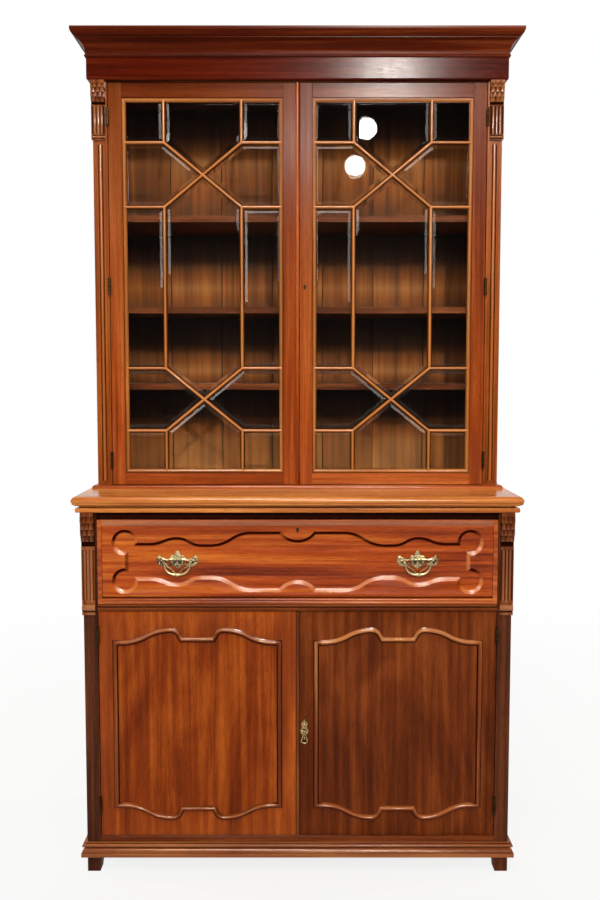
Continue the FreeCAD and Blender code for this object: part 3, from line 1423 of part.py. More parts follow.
def main():
    """Build every sub-part and write it."""
    feet_and_plinth()
    cupboard_hinges = hinge_set("base", post_inner, front, door_face, [
        door_low + cupboard_hinge_bottom, door_high - cupboard_hinge_top])
    book_hinges = hinge_set("book", upper_post_inner, upper_front, book_face, [
        book_low + book_hinge_bottom, (book_low + book_high) / 2, book_high - book_hinge_top])
    base_case(cupboard_hinges["frame_recesses"])
    base_pilasters()
    desk_top()
    bookcase_case(book_hinges["frame_recesses"])
    bookcase_mouldings()
    bookcase_pilasters()
    shelves_and_bearers()
    frames = cupboard_hinges["frame_halves"] + book_hinges["frame_halves"]
    node("hinge_frame_leaves", frames + left_hand(frames))
    bookcase_doors(book_hinges)
    cupboard_doors(cupboard_hinges)
    drawer_case()
    fall_front()
    pigeonholes()
    bail_handles()
    write_parts()


main()
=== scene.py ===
"""Looks of a mahogany secretaire bookcase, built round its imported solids."""

import logging
import math
from dataclasses import dataclass
from enum import Enum

import bmesh
import bpy
import numpy as np
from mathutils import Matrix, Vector
from mathutils.geometry import tessellate_polygon


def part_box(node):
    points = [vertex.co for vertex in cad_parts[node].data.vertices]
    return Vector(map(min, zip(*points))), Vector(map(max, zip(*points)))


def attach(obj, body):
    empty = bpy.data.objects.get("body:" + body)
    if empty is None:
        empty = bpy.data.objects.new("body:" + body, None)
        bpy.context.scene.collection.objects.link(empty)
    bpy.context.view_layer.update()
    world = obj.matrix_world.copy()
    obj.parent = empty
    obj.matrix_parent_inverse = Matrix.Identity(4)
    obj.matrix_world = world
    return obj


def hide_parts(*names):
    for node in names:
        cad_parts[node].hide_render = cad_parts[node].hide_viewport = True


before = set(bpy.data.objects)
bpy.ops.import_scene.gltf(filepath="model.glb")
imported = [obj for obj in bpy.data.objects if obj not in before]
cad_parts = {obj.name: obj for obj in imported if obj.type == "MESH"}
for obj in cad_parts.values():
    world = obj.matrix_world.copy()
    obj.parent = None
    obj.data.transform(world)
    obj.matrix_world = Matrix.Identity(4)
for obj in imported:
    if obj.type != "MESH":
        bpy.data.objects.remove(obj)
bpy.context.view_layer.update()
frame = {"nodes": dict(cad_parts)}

MM = 0.001
SHARP = 32.0  # degrees between two faces from which the edge between them is sharp
WHITE = (1.0,) * 4
Array = np.ndarray
Corner = tuple[float, ...]
Socket = bpy.types.NodeSocket
Material = bpy.types.Material
log = logging.getLogger("bookcase")


class Grain(Enum):
    """Which way the grain of a piece runs. The value marks the stretched directions."""

    ALONG_X = (1, 0, 0)
    ALONG_Y = (0, 1, 0)
    ALONG_Z = (0, 0, 1)
    LEVEL = (1, 1, 0)
    CARRIED = (1, 0, 0, 0)  # along the piece's own grain coordinate; the fourth place sets it apart from x

    def scale(self, along: float, across: float) -> tuple[float, ...]:
        """Turn two frequencies per metre into a scale for x, y and z."""
        return tuple(along if flag else across for flag in self.value[:3])


class Side(Enum):
    """A side of the middle, and its sign along x."""

    LEFT = -1
    RIGHT = 1

    @property
    def word(self) -> str:
        """The side's name in lower case."""
        return self.name.lower()


def linear(code: str) -> tuple[float, float, float, float]:
    """Turn a six-digit colour code into linear light, by the sRGB curve.

    Args:
        code: Red, green and blue as pairs of hexadecimal digits.

    Returns:
        Linear red, green and blue, and an alpha of one.
    """
    shares = [int(code[start:start + 2], 16) / 255 for start in (0, 2, 4)]
    light = [share / 12.92 if share <= 0.04045 else ((share + 0.055) / 1.055) ** 2.4 for share in shares]
    return (*light, 1.0)


def placed(name: str, data: bpy.types.ID) -> bpy.types.Object:
    """Make an object and link it to the scene.

    Args:
        name: The object's name.
        data: Its mesh, lamp or camera.

    Returns:
        The new object.
    """
    made = bpy.data.objects.new(name, data)
    bpy.context.scene.collection.objects.link(made)
    return made


class Tree:
    """The node tree of a material or of the world, with short ways to add the nodes in use here."""

    def __init__(self, owner: Material | bpy.types.World, output: str = "Material") -> None:
        """Start an empty tree with only its output.

        Args:
            owner: What the tree belongs to.
            output: The kind of its output, Material or World.
        """
        owner.use_nodes = True
        self.owner = owner
        self.nodes = owner.node_tree.nodes
        self.links = owner.node_tree.links
        self.nodes.clear()
        self.output = self.nodes.new(f"ShaderNodeOutput{output}")

    def feed(self, socket: Socket, value: object) -> None:
        """Set an input.

        Args:
            socket: The input.
            value: A number, a colour or another node's output.
        """
        if isinstance(value, Socket):
            self.links.new(value, socket)
        else:
            socket.default_value = value

    def node(self, kind: str, **values: object) -> bpy.types.Node:
        """Add a node and set its inputs.

        Args:
            kind: The node's type name.
            values: Sockets by name, with _ for a space, each a number, a colour or another socket.

        Returns:
            The new node.
        """
        made = self.nodes.new(kind)
        for word, value in values.items():
            self.feed(made.inputs[word.replace("_", " ")], value)
        return made

    def place(self, grain: Grain) -> Socket:
        """The point that a pattern reads: the piece's carried grain, or its object coordinates."""
        return (self.attribute("grain", "Vector") if grain is Grain.CARRIED
                else self.nodes.new("ShaderNodeTexCoord").outputs["Object"])

    def attribute(self, name: str, output: str) -> Socket:
        """Read a mesh attribute.

        Args:
            name: The attribute's name.
            output: Vector or Fac.

        Returns:
            The output of that name.
        """
        made = self.nodes.new("ShaderNodeAttribute")
        made.attribute_name = name
        return made.outputs[output]

    def noise(self, where: Socket, scale: tuple[float, ...], detail: float, warp: float = 0.0,
              shift: float = 0.0) -> Socket:
        """Noise with its own frequency along each axis.

        Args:
            where: The point to read.
            scale: Frequencies per metre.
            detail: Octaves of finer noise.
            warp: How far the noise bends itself.
            shift: Distance that sets this noise apart from another.

        Returns:
            The noise, about 0.5 on average.
        """
        mapped = self.node("ShaderNodeMapping", Vector=where, Scale=scale, Location=(shift,) * 3)
        made = self.node("ShaderNodeTexNoise", Vector=mapped.outputs[0], Scale=1.0, Detail=detail,
                         Distortion=warp)
        return made.outputs[0]

    def ramp(self, value: Socket, stops: list[tuple[float, tuple[float, ...]]]) -> Socket:
        """Colours blended along a value.

        Args:
            value: What to colour.
            stops: Places from 0 to 1 and their colours.

        Returns:
            The colour.
        """
        made = self.node("ShaderNodeValToRGB", Fac=value)
        points = made.color_ramp.elements
        while len(points) < len(stops):
            points.new(0.5)
        for point, (place, colour) in zip(points, stops):
            point.position = place
            point.color = colour
        return made.outputs["Color"]

    def math(self, operation: str, *values: object, clamp: bool = False) -> Socket:
        """A sum of sockets and numbers.

        Args:
            operation: The kind of sum.
            values: What it takes, in order.
            clamp: Whether the result is held between zero and one.

        Returns:
            The result.
        """
        made = self.nodes.new("ShaderNodeMath")
        made.operation = operation
        made.use_clamp = clamp
        for socket, value in zip(made.inputs, values):
            self.feed(socket, value)
        return made.outputs[0]

    def mix(self, share: Socket, first: object, second: object, blend: str = "MIX") -> Socket:
        """Two colours mixed by a share that varies over the piece.

        Args:
            share: How much of the second there is.
            first: The first colour.
            second: The second colour.
            blend: The way they mix.

        Returns:
            The colour.
        """
        made = self.nodes.new("ShaderNodeMix")
        made.data_type = "RGBA"
        made.blend_type = blend
        factor, *_, one, two = made.inputs[:8]
        for socket, value in zip((factor, one, two), (share, first, second)):
            self.feed(socket, value)
        return made.outputs[2]

    def bump(self, height: Socket, strength: float, depth: float) -> Socket:
        """A normal bent by a height, where depth is the height of one in metres."""
        return self.node("ShaderNodeBump", Height=height, Strength=strength, Distance=depth).outputs[0]

    def blend(self, share: Socket, first: bpy.types.Node, second: bpy.types.Node) -> Socket:
        """Two shaders mixed by a share.

        Args:
            share: How much of the second there is.
            first: The first shader.
            second: The second shader.

        Returns:
            The mixed shader.
        """
        made = self.node("ShaderNodeMixShader", Fac=share)
        for socket, shader in zip(made.inputs[1:], (first, second)):
            self.feed(socket, shader.outputs[0])
        return made.outputs[0]

    def finish(self, shader: Socket) -> Material | bpy.types.World:
        """Join a shader to the output."""
        self.links.new(shader, self.output.inputs["Surface"])
        return self.owner

    def surface(self, **values: object) -> Material:
        """Join a principled shader to the output, with some of its inputs set."""
        return self.finish(self.node("ShaderNodeBsdfPrincipled", **values).outputs[0])


MADE: dict[tuple[object, Grain], Material] = {}


@dataclass(frozen=True)
class Finish:
    """A finish that makes its material once for each direction of the grain."""

    name: str
    slot: str

    def material(self, grain: Grain) -> Material:
        """Find or make the material.

        Args:
            grain: The direction of the grain.

        Returns:
            The material for that direction.
        """
        key = (self, grain)
        if key not in MADE:
            MADE[key] = self.build(grain)
        return MADE[key]

    def build(self, grain: Grain) -> Material:
        """Make the material for one direction of the grain."""
        raise NotImplementedError


@dataclass(frozen=True)
class Mahogany(Finish):
    """Polished mahogany: broad figure, streaks and pores along the grain under a coat of polish."""

    dark: str
    middle: str
    light: str  # the colour of painted highlights and of wear on edges, too
    figure: float = 6.0  # bands per metre across the grain
    streaks: float = 95.0  # per metre across the grain
    warp: float = 0.8
    rough: float = 0.26
    gloss: float = 0.1
    shift: float = 0.0  # sets this wood apart from the others
    polish: float = 0.25  # the shine that a positive tone adds, on painted highlights and on wear
    run: float = 0.9  # bands per metre along the grain

    def build(self, grain: Grain) -> Material:
        """Mix the figure with the streaks, colour them, darken the pores, and paint shade and highlights by
        the tone.

        Args:
            grain: The direction of the grain.

        Returns:
            The new material.
        """
        tree = Tree(bpy.data.materials.new(f"{self.name}_{grain.name.lower()}"))
        where = tree.place(grain)
        figure = tree.noise(where, grain.scale(self.run, self.figure), 4.0, self.warp, self.shift)
        streak = tree.noise(where, grain.scale(2.4, self.streaks), 5.0, 0.3, self.shift + 3.0)
        pores = tree.noise(where, grain.scale(34.0, 620.0), 2.0, 0.0, self.shift + 7.0)
        blend = tree.math("MULTIPLY_ADD", figure, 0.5, tree.math("MULTIPLY", streak, 0.5))
        stops = [(0.36, linear(self.dark)), (0.5, linear(self.middle)), (0.66, linear(self.light))]
        wood = tree.ramp(blend, stops)
        pore = tree.ramp(pores, [(0.36, (0.45,) * 3 + (1.0,)), (0.48, WHITE)])
        porous = tree.mix(tree.math("MULTIPLY", streak, 0.9), wood, pore, "MULTIPLY")
        # The tone paints light and shade: below zero painted shade, in recesses, on down-facing parts and
        # under overhangs; above zero painted highlights on up-facing parts, and wear on edges.
        tone = tree.attribute("tone", "Fac")
        sunk = tree.math("MULTIPLY", tone, -1.0, clamp=True)
        highlight_and_wear = tree.math("MULTIPLY", tone, 1.0, clamp=True)
        painted_shade = tuple(share * 0.25 for share in linear(self.dark)[:3]) + (1.0,)
        painted_light_colour = tree.mix(highlight_and_wear, tree.mix(sunk, porous, painted_shade), linear(self.light))
        rough = tree.math("MULTIPLY_ADD", pores, 0.12, self.rough - 0.06)
        dulled = tree.math("MULTIPLY_ADD", sunk, -self.gloss, self.gloss)
        gloss = tree.math("MULTIPLY_ADD", highlight_and_wear, self.polish, dulled)
        height = tree.math("MULTIPLY_ADD", streak, 0.4, pores)
        return tree.surface(Base_Color=painted_light_colour, Roughness=rough,
                            Specular_IOR_Level=gloss, Normal=tree.bump(height, 0.2, 0.3 * MM))


@dataclass(frozen=True)
class PlainTimber(Finish):
    """Unpolished pale timber with soft streaks and a little dirt."""

    dark: str
    light: str
    # The colour of painted light, brought by a positive tone.
    pale: str = "b98650"
    # The colour of painted shadow, brought by a negative tone.
    painted_shadow: str = "140a05"

    def build(self, grain: Grain) -> Material:
        """Colour soft streaks, with stains over them, with painted light where each point's own tone is
        positive and painted shadow where it is negative.

        Args:
            grain: The direction of the grain.

        Returns:
            The new material.
        """
        tree = Tree(bpy.data.materials.new(f"{self.name}_{grain.name.lower()}"))
        where = tree.place(grain)
        streak = tree.noise(where, grain.scale(1.5, 42.0), 5.0, 0.6)
        stain = tree.noise(where, (3.0,) * 3, 4.0, 0.4, 5.0)
        wood = tree.ramp(streak, [(0.32, linear(self.dark)), (0.66, linear(self.light))])
        dirt = tree.ramp(stain, [(0.38, (0.5, 0.44, 0.4, 1.0)), (0.58, WHITE)])
        stained = tree.mix(stain, wood, dirt, "MULTIPLY")
        # The tone paints light: painted light where it is positive, painted shadow where it is negative.
        tone = tree.attribute("tone", "Fac")
        with_painted_light = tree.mix(tree.math("MULTIPLY", tone, streak, clamp=True), stained, linear(self.pale))
        with_painted_shadow = tree.mix(tree.math("MULTIPLY", tone, -1.0, clamp=True), with_painted_light, linear(self.painted_shadow))
        rough = tree.math("MULTIPLY_ADD", streak, 0.2, 0.5)
        return tree.surface(Base_Color=with_painted_shadow, Roughness=rough,
                            Specular_IOR_Level=0.1, Normal=tree.bump(streak, 0.3, 0.5 * MM))


@dataclass(frozen=True)
class Brass(Finish):
    """Old brass, bright where wear has polished it and brown in its hollows."""

    bright: str
    dull: str
    rough: float = 0.3

    def build(self, grain: Grain) -> Material:
        """Mix bright and dull metal by a patchy tarnish, and by each point's own tone.

        Args:
            grain: Where the tarnish reads its place.

        Returns:
            The new material.
        """
        tree = Tree(bpy.data.materials.new(self.name))
        patch = tree.noise(tree.place(grain), (160.0,) * 3, 4.0, 0.5)
        share = tree.math("MULTIPLY_ADD", tree.attribute("tone", "Fac"), 0.8, patch)
        colour = tree.ramp(share, [(0.25, linear(self.dull)), (0.7, linear(self.bright))])
        rough = tree.math("MULTIPLY_ADD", patch, -0.2, self.rough + 0.1)
        return tree.surface(Base_Color=colour, Metallic=1.0, Roughness=rough,
                            Normal=tree.bump(patch, 0.25, 0.3 * MM))


@dataclass(frozen=True)
class Glass(Finish):
    """Clear old glass that lets the lamps light what stands behind it."""

    tint: str

    def build(self, grain: Grain) -> Material:
        """Bend and mirror light by a faint ripple, and let shadow rays pass.

        Args:
            grain: Where the ripple reads its place.

        Returns:
            The new material.
        """
        tree = Tree(bpy.data.materials.new(self.name))
        ripple = tree.noise(tree.place(grain), (9.0,) * 3, 2.0)
        shader = tree.node("ShaderNodeBsdfPrincipled", Base_Color=linear(self.tint), Roughness=0.0,
                           Transmission_Weight=1.0, IOR=1.5, Specular_Tint=linear("c8c8c8"),
                           Normal=tree.bump(ripple, 0.2, 0.6 * MM))
        clear = tree.node("ShaderNodeBsdfTransparent", Color=linear(self.tint))
        shadow = tree.nodes.new("ShaderNodeLightPath").outputs["Is Shadow Ray"]
        return tree.finish(tree.blend(shadow, shader, clear))


@dataclass(frozen=True)
class Leather(Finish):
    """Tooled writing leather with a fine pebble."""

    dark: str
    light: str

    def build(self, grain: Grain) -> Material:
        """Raise small cells, and darken the seams between them.

        Args:
            grain: Where the pebble reads its place.

        Returns:
            The new material.
        """
        tree = Tree(bpy.data.materials.new(self.name))
        where = tree.place(grain)
        cells = tree.node("ShaderNodeTexVoronoi", Vector=where, Scale=420.0).outputs["Distance"]
        patch = tree.noise(where, (14.0,) * 3, 4.0)
        share = tree.math("MULTIPLY_ADD", cells, -0.35, patch)
        colour = tree.ramp(share, [(0.2, linear(self.dark)), (0.6, linear(self.light))])
        rough = tree.math("MULTIPLY_ADD", patch, 0.2, 0.4)
        return tree.surface(Base_Color=colour, Roughness=rough,
                            Normal=tree.bump(cells, 0.5, -0.3 * MM))


@dataclass(frozen=True)
class HoleShade(Finish):
    """A near black that paints the shade inside a keyhole."""

    colour: str

    def build(self, grain: Grain) -> Material:
        """Mottle a near black a little.

        Args:
            grain: Where the mottle reads its place.

        Returns:
            The new material.
        """
        tree = Tree(bpy.data.materials.new(self.name))
        patch = tree.noise(tree.place(grain), (300.0,) * 3, 2.0)
        colour = tree.ramp(patch, [(0.3, linear("000000")), (0.8, linear(self.colour))])
        return tree.surface(Base_Color=colour, Roughness=0.9)


CORNICE_WOOD = Mahogany("cornice_mahogany", "dark_mahogany", "320c02", "4a1503", "703012",
                        gloss=0.04, polish=0.4)
# Darker than the cornice: partly its own dark wood, partly painted shade from the cornice above.
SHADED_FRIEZE_WOOD = Mahogany("shaded_frieze_mahogany", "dark_mahogany", "2e0802", "440f03", "5e1e09",
                       rough=0.16, gloss=0.06, shift=9.0)
POST_WOOD = Mahogany("post_mahogany", "dark_mahogany", "281007", "3e1c0c", "5e2f16", shift=11.0)
PLINTH_WOOD = Mahogany("plinth_mahogany", "dark_mahogany", "4e200b", "703616", "a06234",
                       rough=0.2, gloss=0.28, shift=13.0)
RAIL_WOOD = Mahogany("rail_mahogany", "dark_mahogany", "3c1606", "5a260b", "7c401a", shift=15.0)
FRAME_WOOD = Mahogany("frame_mahogany", "mahogany", "642308", "8c3d12", "b2602a",
                      rough=0.2, gloss=0.25, shift=17.0)
UPRIGHT_WOOD = Mahogany("upright_mahogany", "mahogany", "5c2708", "7e3c10", "a05a26",
                        rough=0.2, gloss=0.2, shift=21.0, polish=1.0)
DESK_WOOD = Mahogany("desk_mahogany", "mahogany", "84400f", "ae6328", "ce8c48",
                     rough=0.22, gloss=0.3, shift=19.0)
FALL_WOOD = Mahogany("fall_mahogany", "figured_mahogany", "5a1a02", "923a0c", "b86420",
                     figure=9.0, streaks=80.0, warp=0.25, gloss=0.2, shift=27.0, polish=1.0)
LEFT_WOOD = Mahogany("left_door_mahogany", "figured_mahogany", "501b02", "732d07", "9a4b13",
                     figure=4.5, streaks=60.0, warp=2.2, shift=29.0, run=1.9)
RIGHT_WOOD = Mahogany("right_door_mahogany", "figured_mahogany", "421703", "5e2708", "7c3c15",
                      figure=4.5, streaks=60.0, warp=2.2, shift=31.0, run=1.9)
TRIM_WOOD = Mahogany("trim_mahogany", "dark_mahogany", "3c1808", "5c2a10", "94582e",
                     rough=0.17, gloss=0.12, shift=33.0, polish=1.0)
MOULD_WOOD = Mahogany("mould_mahogany", "mahogany", "541f05", "763410", "b07038",
                      rough=0.2, gloss=0.3, shift=35.0, polish=0.5)
BEAD_WOOD = Mahogany("bead_mahogany", "mahogany", "64280a", "8c4418", "b26c38",
                     rough=0.16, gloss=0.9, shift=39.0)
BAR_WOOD = Mahogany("glazing_mahogany", "glazing_mahogany", "5e2c08", "884816", "b07034",
                    rough=0.2, gloss=0.2, shift=37.0, polish=0.8)
SHELF_WOOD = Mahogany("shelf_mahogany", "mahogany", "2e1306", "48210d", "663719",
                      rough=0.36, gloss=0.04, shift=41.0)
PALE_TIMBER = PlainTimber("pale_timber", "secondary_timber", "5a2c0c", "8a4c18")
OLD_BRASS = Brass("old_brass", "brass", "d2c092", "32261a")
DROP_BRASS = Brass("drop_brass", "brass", "b8a274", "2c2010", 0.26)
# Darker than the handles: tarnish, and painted shade for the hinges in their gaps.
HINGE_BRASS = Brass("hinge_brass", "brass", "4a3820", "1c140c", 0.4)
PANE_GLASS = Glass("pane_glass", "glass", "f6f8f5")
WRITING_LEATHER = Leather("writing_leather_skin", "leather", "1f130c", "4a2c1a")
KEYHOLE_SHADE = HoleShade("keyhole_painted_shade", "brass", "100a07")


def flipped(path: list[Corner], axis: int) -> list[Corner]:
    """A path mirrored across one axis, so that its bends turn the other way."""
    signs = [-1 if place == axis else 1 for place in range(2)] + [-1]
    return [tuple(sign * value for sign, value in zip(signs, corner)) for corner in path]


def turned_back(path: list[Corner]) -> list[Corner]:
    """A path run from its end to its start: each bend moves to the other end of its side, and turns."""
    bends = [tuple(-value for value in corner[2:]) for corner in path[:0:-1]]
    return [path[-1][:2]] + [(*corner[:2], *bend) for corner, bend in zip(path[-2::-1], bends)]


def trace(corners: list[Corner], pitch: float) -> Array:
    """Draw a closed outline as points.

    A side is straight, or an arc whose radius its last corner carries: the centre lies on the line through
    the middle of the chord and square to it, and the points are at equal angles about that centre.

    Args:
        corners: x, height and the bend of the side that ends there, where left is positive.
        pitch: The greatest distance between two points of an arc.

    Returns:
        Points of the outline, one row each.
    """
    ends = np.array([corner[:2] for corner in corners], float)
    runs = []
    for corner, start, end in zip(corners, np.roll(ends, 1, axis=0), ends):
        if len(corner) == 2:
            runs.append(start[None])
            continue
        bend = corner[2]
        chord = end - start
        length = math.hypot(*chord)
        left = np.array([-chord[1], chord[0]]) / length
        reach = math.copysign(math.sqrt(max(bend * bend - length * length / 4, 0.0)), bend)
        centre = (start + end) / 2 + left * reach
        first = math.atan2(*(start - centre)[::-1])
        last = math.atan2(*(end - centre)[::-1])
        turn = (last - first) % math.tau if bend > 0 else -((first - last) % math.tau)
        steps = max(3, math.ceil(abs(turn * bend) / pitch))
        angles = first + turn * np.arange(steps) / steps
        runs.append(centre + abs(bend) * np.stack([np.cos(angles), np.sin(angles)], axis=1))
    return np.concatenate(runs)


def metres(corners: list[Corner]) -> list[Corner]:
    """Corners in metres, from corners in millimetres."""
    return [tuple(value * MM for value in corner) for corner in corners]


def symmetric(corners: list[Corner]) -> Array:
    """Draw a closed outline whose left half mirrors its right half.

    Args:
        corners: The right half from its foot to its tip, in millimetres.

    Returns:
        Points of the outline, about its middle line.
    """
    right = metres(corners)
    return trace(right[1:] + turned_back(flipped(right, 0))[1:], pitch=1 * MM)


def unit(vectors: Array) -> Array:
    """Vectors, one row each, at a length of one."""
    return vectors / np.linalg.norm(vectors, axis=1, keepdims=True)


def sides_of(loop: Array) -> tuple[Array, Array]:
    """The unit directions of the sides before and after each point of a closed loop."""
    after = unit(np.roll(loop, -1, axis=0) - loop)
    return np.roll(after, 1, axis=0), after


def crossed(first: Array, second: Array) -> Array:
    """The cross product of flat vectors, row by row: positive where the second turns left."""
    return first[:, 0] * second[:, 1] - first[:, 1] * second[:, 0]


def inset(loop: Array, distance: float) -> Array:
    """Move a closed loop to its left.

    Each point goes along the bisector of its two sides, by the distance over the cosine of half the turn.

    Args:
        loop: Points of the outline.
        distance: How far its sides move.

    Returns:
        The moved points.
    """
    least_cosine = 0.4
    before, after = sides_of(loop)
    normals = [np.stack([-side[:, 1], side[:, 0]], axis=1) for side in (before, after)]
    bisector = normals[0] + normals[1]
    bisector /= np.maximum(np.linalg.norm(bisector, axis=1, keepdims=True), 1e-9)
    cosine = np.maximum((bisector * normals[1]).sum(axis=1, keepdims=True), least_cosine)
    return loop + bisector * distance / cosine


def turn_tone(loop: Array) -> Array:
    """Tone by the turn at each point of a closed profile: wear on an arris, painted shade in a quirk.

    The turn is taken as a share of a right angle. Slight turns count for nothing, and an arris for less
    than a quirk.

    Args:
        loop: Points of the profile.

    Returns:
        The tone of each point.
    """
    slight, arris, strength = 0.3, 0.3, 0.9
    before, after = sides_of(loop)
    turn = np.arctan2(crossed(before, after), (before * after).sum(axis=1))
    sharp = np.clip(turn / (math.pi / 2), -1, 1)
    return np.where(np.abs(sharp) > slight, np.where(sharp > 0, sharp * arris, sharp), 0.0) * strength


def facing(loop: Array) -> Array:
    """The unit vector from each point of a loop to its inside, square to the line between its neighbours."""
    ahead = unit(np.roll(loop, -1, axis=0) - np.roll(loop, 1, axis=0))
    return np.stack([-ahead[:, 1], ahead[:, 0]], axis=1)


def upright(loop: Array, y: float) -> Array:
    """A flat loop of x and height, stood up at one depth."""
    return np.stack([loop[:, 0], np.full(len(loop), y), loop[:, 1]], axis=1)


def joined(*parts: Array | float) -> Array:
    """Numbers or arrays, spread to one shape and joined into points."""
    return np.stack(np.broadcast_arrays(*parts), axis=-1)


def travelled(path: Array) -> Array:
    """The distance along a path at each of its points."""
    return np.concatenate([[0.0], np.cumsum(np.linalg.norm(np.diff(path, axis=0), axis=1))])


def full_turn(count: int) -> Array:
    """Equal angles round a circle."""
    return math.tau * np.arange(count) / count


def inside(points: Array, loop: Array) -> Array:
    """Find which points lie in a loop: a level ray to the right crosses its sides an odd number of times.

    Args:
        points: Points in x and height.
        loop: Points of the outline.

    Returns:
        Whether each point is inside.
    """
    start, end = loop, np.roll(loop, -1, axis=0)
    x, z = points[..., 0, None], points[..., 1, None]
    spans = (start[:, 1] > z) != (end[:, 1] > z)
    rise = np.where(end[:, 1] == start[:, 1], 1.0, end[:, 1] - start[:, 1])
    cross = start[:, 0] + (z - start[:, 1]) / rise * (end[:, 0] - start[:, 0])
    return ((spans & (x < cross)).sum(axis=-1) % 2).astype(bool)


class Skin:
    """Surfaces gathered into one mesh. Each point carries its place along the grain, and a tone."""

    ORDERS = {Grain.ALONG_X: (0, 1, 2), Grain.ALONG_Y: (1, 2, 0), Grain.ALONG_Z: (2, 0, 1)}
    LOG_REACH = 9.0  # metres within which each board's place in its log is drawn
    END_EASE = 0.7  # the bevel on a board's ends, against that on its edges
    WELD = 2e-6
    LEAST_EDGE = 1e-6

    def __init__(self, seed: int, single: bool = False) -> None:
        """Start with no points.

        Args:
            seed: Sets each board's place in its log.
            single: Whether every surface belongs to one board.
        """
        self.points: list[Array] = []
        self.grain: list[Array] = []
        self.tone: list[Array] = []
        self.faces: list[list[int]] = []
        self.count = 0
        self.random = np.random.default_rng(seed)
        self.single = single

    def add(self, points: Array, grain: Grain | Array, tone: Array | float = 0.0) -> int:
        """Add points of one board.

        Args:
            points: Points, one row each.
            grain: The grain's direction, or each point's own place in the grain.
            tone: From -1 to 1: below zero painted shade, and tarnish on brass; above zero painted highlights,
                and wear on edges.

        Returns:
            The index of the first point.
        """
        start = self.count
        carried = points[:, self.ORDERS[grain]] if isinstance(grain, Grain) else grain
        if not self.single:
            carried = carried + self.random.uniform(-self.LOG_REACH, self.LOG_REACH, 3)
        self.points.append(points)
        self.grain.append(carried)
        self.tone.append(np.broadcast_to(np.asarray(tone, float), len(points)))
        self.count += len(points)
        return start

    def grid(self, surface: Array, grain: Grain | Array, tone: Array | float = 0.0, ring: bool = False,
             caps: bool = False, back: bool = False) -> None:
        """Add a grid of points as quads.

        Args:
            surface: Points by row and column.
            grain: The grain's direction, or each point's own place in the grain.
            tone: A number, or an array that spreads over the rows and columns.
            ring: Whether the last column joins the first.
            caps: Whether the first and last rows are closed by a face each.
            back: Whether the grid's border is closed by one face.
        """
        shape = surface.shape[:2]
        flat = grain if isinstance(grain, Grain) else grain.reshape(-1, 3)
        level = np.broadcast_to(tone, shape).reshape(-1)
        index = np.arange(math.prod(shape)).reshape(shape) + self.add(surface.reshape(-1, 3), flat, level)
        wide = np.concatenate([index, index[:, :1]], axis=1) if ring else index
        quads = np.stack([wide[:-1, :-1], wide[:-1, 1:], wide[1:, 1:], wide[1:, :-1]], axis=-1)
        self.faces += quads.reshape(-1, 4).tolist()
        if caps:
            self.faces += [index[0].tolist(), index[-1].tolist()]
        if back:
            border = np.concatenate([index[0, :-1], index[:-1, -1], index[-1, :0:-1], index[:0:-1, 0]])
            self.faces.append(border.tolist())

    def sheet(self, loops: list[Array], grain: Grain, tone: float = 0.0) -> None:
        """Fill a flat outline, with any holes that follow it, by triangles."""
        triangles = np.array(tessellate_polygon([loop.tolist() for loop in loops]))
        self.faces += (triangles + self.add(np.concatenate(loops), grain, tone)).tolist()

    def board(self, low: Corner, high: Corner, grain: Grain, tones: Corner = (0.0, 0.0),
              ease: float = 0.8 * MM) -> None:
        """A square board with eased edges: an eight-sided section carried along the grain.

        Args:
            low: The lowest corner.
            high: The highest corner.
            grain: The direction of its length.
            tones: The tone at its lower and its upper end.
            ease: The width of the bevel on its edges.
        """
        order = self.ORDERS[grain]
        low_corner, high_corner = np.array(low)[list(order)], np.array(high)[list(order)]
        middle = (low_corner + high_corner)[1:] / 2
        reach = (high_corner - low_corner)[1:] / 2
        signs = np.array([(1, 1), (1, 1), (-1, 1), (-1, 1), (-1, -1), (-1, -1), (1, -1), (1, -1)])
        trims = np.array([(0, 1), (1, 0), (1, 0), (0, 1), (0, 1), (1, 0), (1, 0), (0, 1)]) * ease
        section = signs * (reach - trims)
        ends = signs * (reach - trims - ease * self.END_EASE)
        stations = (low_corner[0], low_corner[0] + ease, high_corner[0] - ease, high_corner[0])
        rows = [np.column_stack([np.full(len(shape), along), shape + middle])
                for along, shape in zip(stations, (ends, section, section, ends))]
        surface = np.stack(rows)[:, :, np.argsort(order)]
        level = np.interp(surface[:, :, 2], (low[2], high[2]), tones)
        self.grid(surface, grain, level, ring=True, caps=True)

    def band(self, loop: Array, section: Array, face: float, tone: Array, grain: Grain | None = None,
             closed: bool = True) -> None:
        """Carry a section round a closed loop on an upright face.

        Each point of the section is an inset from the loop and a height in front of the face.

        Args:
            loop: The outline, in x and height.
            section: Inset and height of each point.
            face: The depth of the face.
            tone: The tone of each point of the section, or of each at every point of the loop.
            grain: A fixed direction, or none where the grain follows the loop.
            closed: Whether the section's last point joins its first.
        """
        surface = np.stack([upright(inset(loop, across), face - height) for across, height in section])
        carried = joined(travelled(loop)[None], travelled(section)[:, None], 0.0)
        level = np.broadcast_to(tone if tone.ndim == 2 else tone[:, None], surface.shape[:2])
        if closed:
            surface, carried, level = (np.concatenate([rows, rows[:1]]) for rows in (surface, carried, level))
        self.grid(surface, carried if grain is None else grain, level, ring=True)

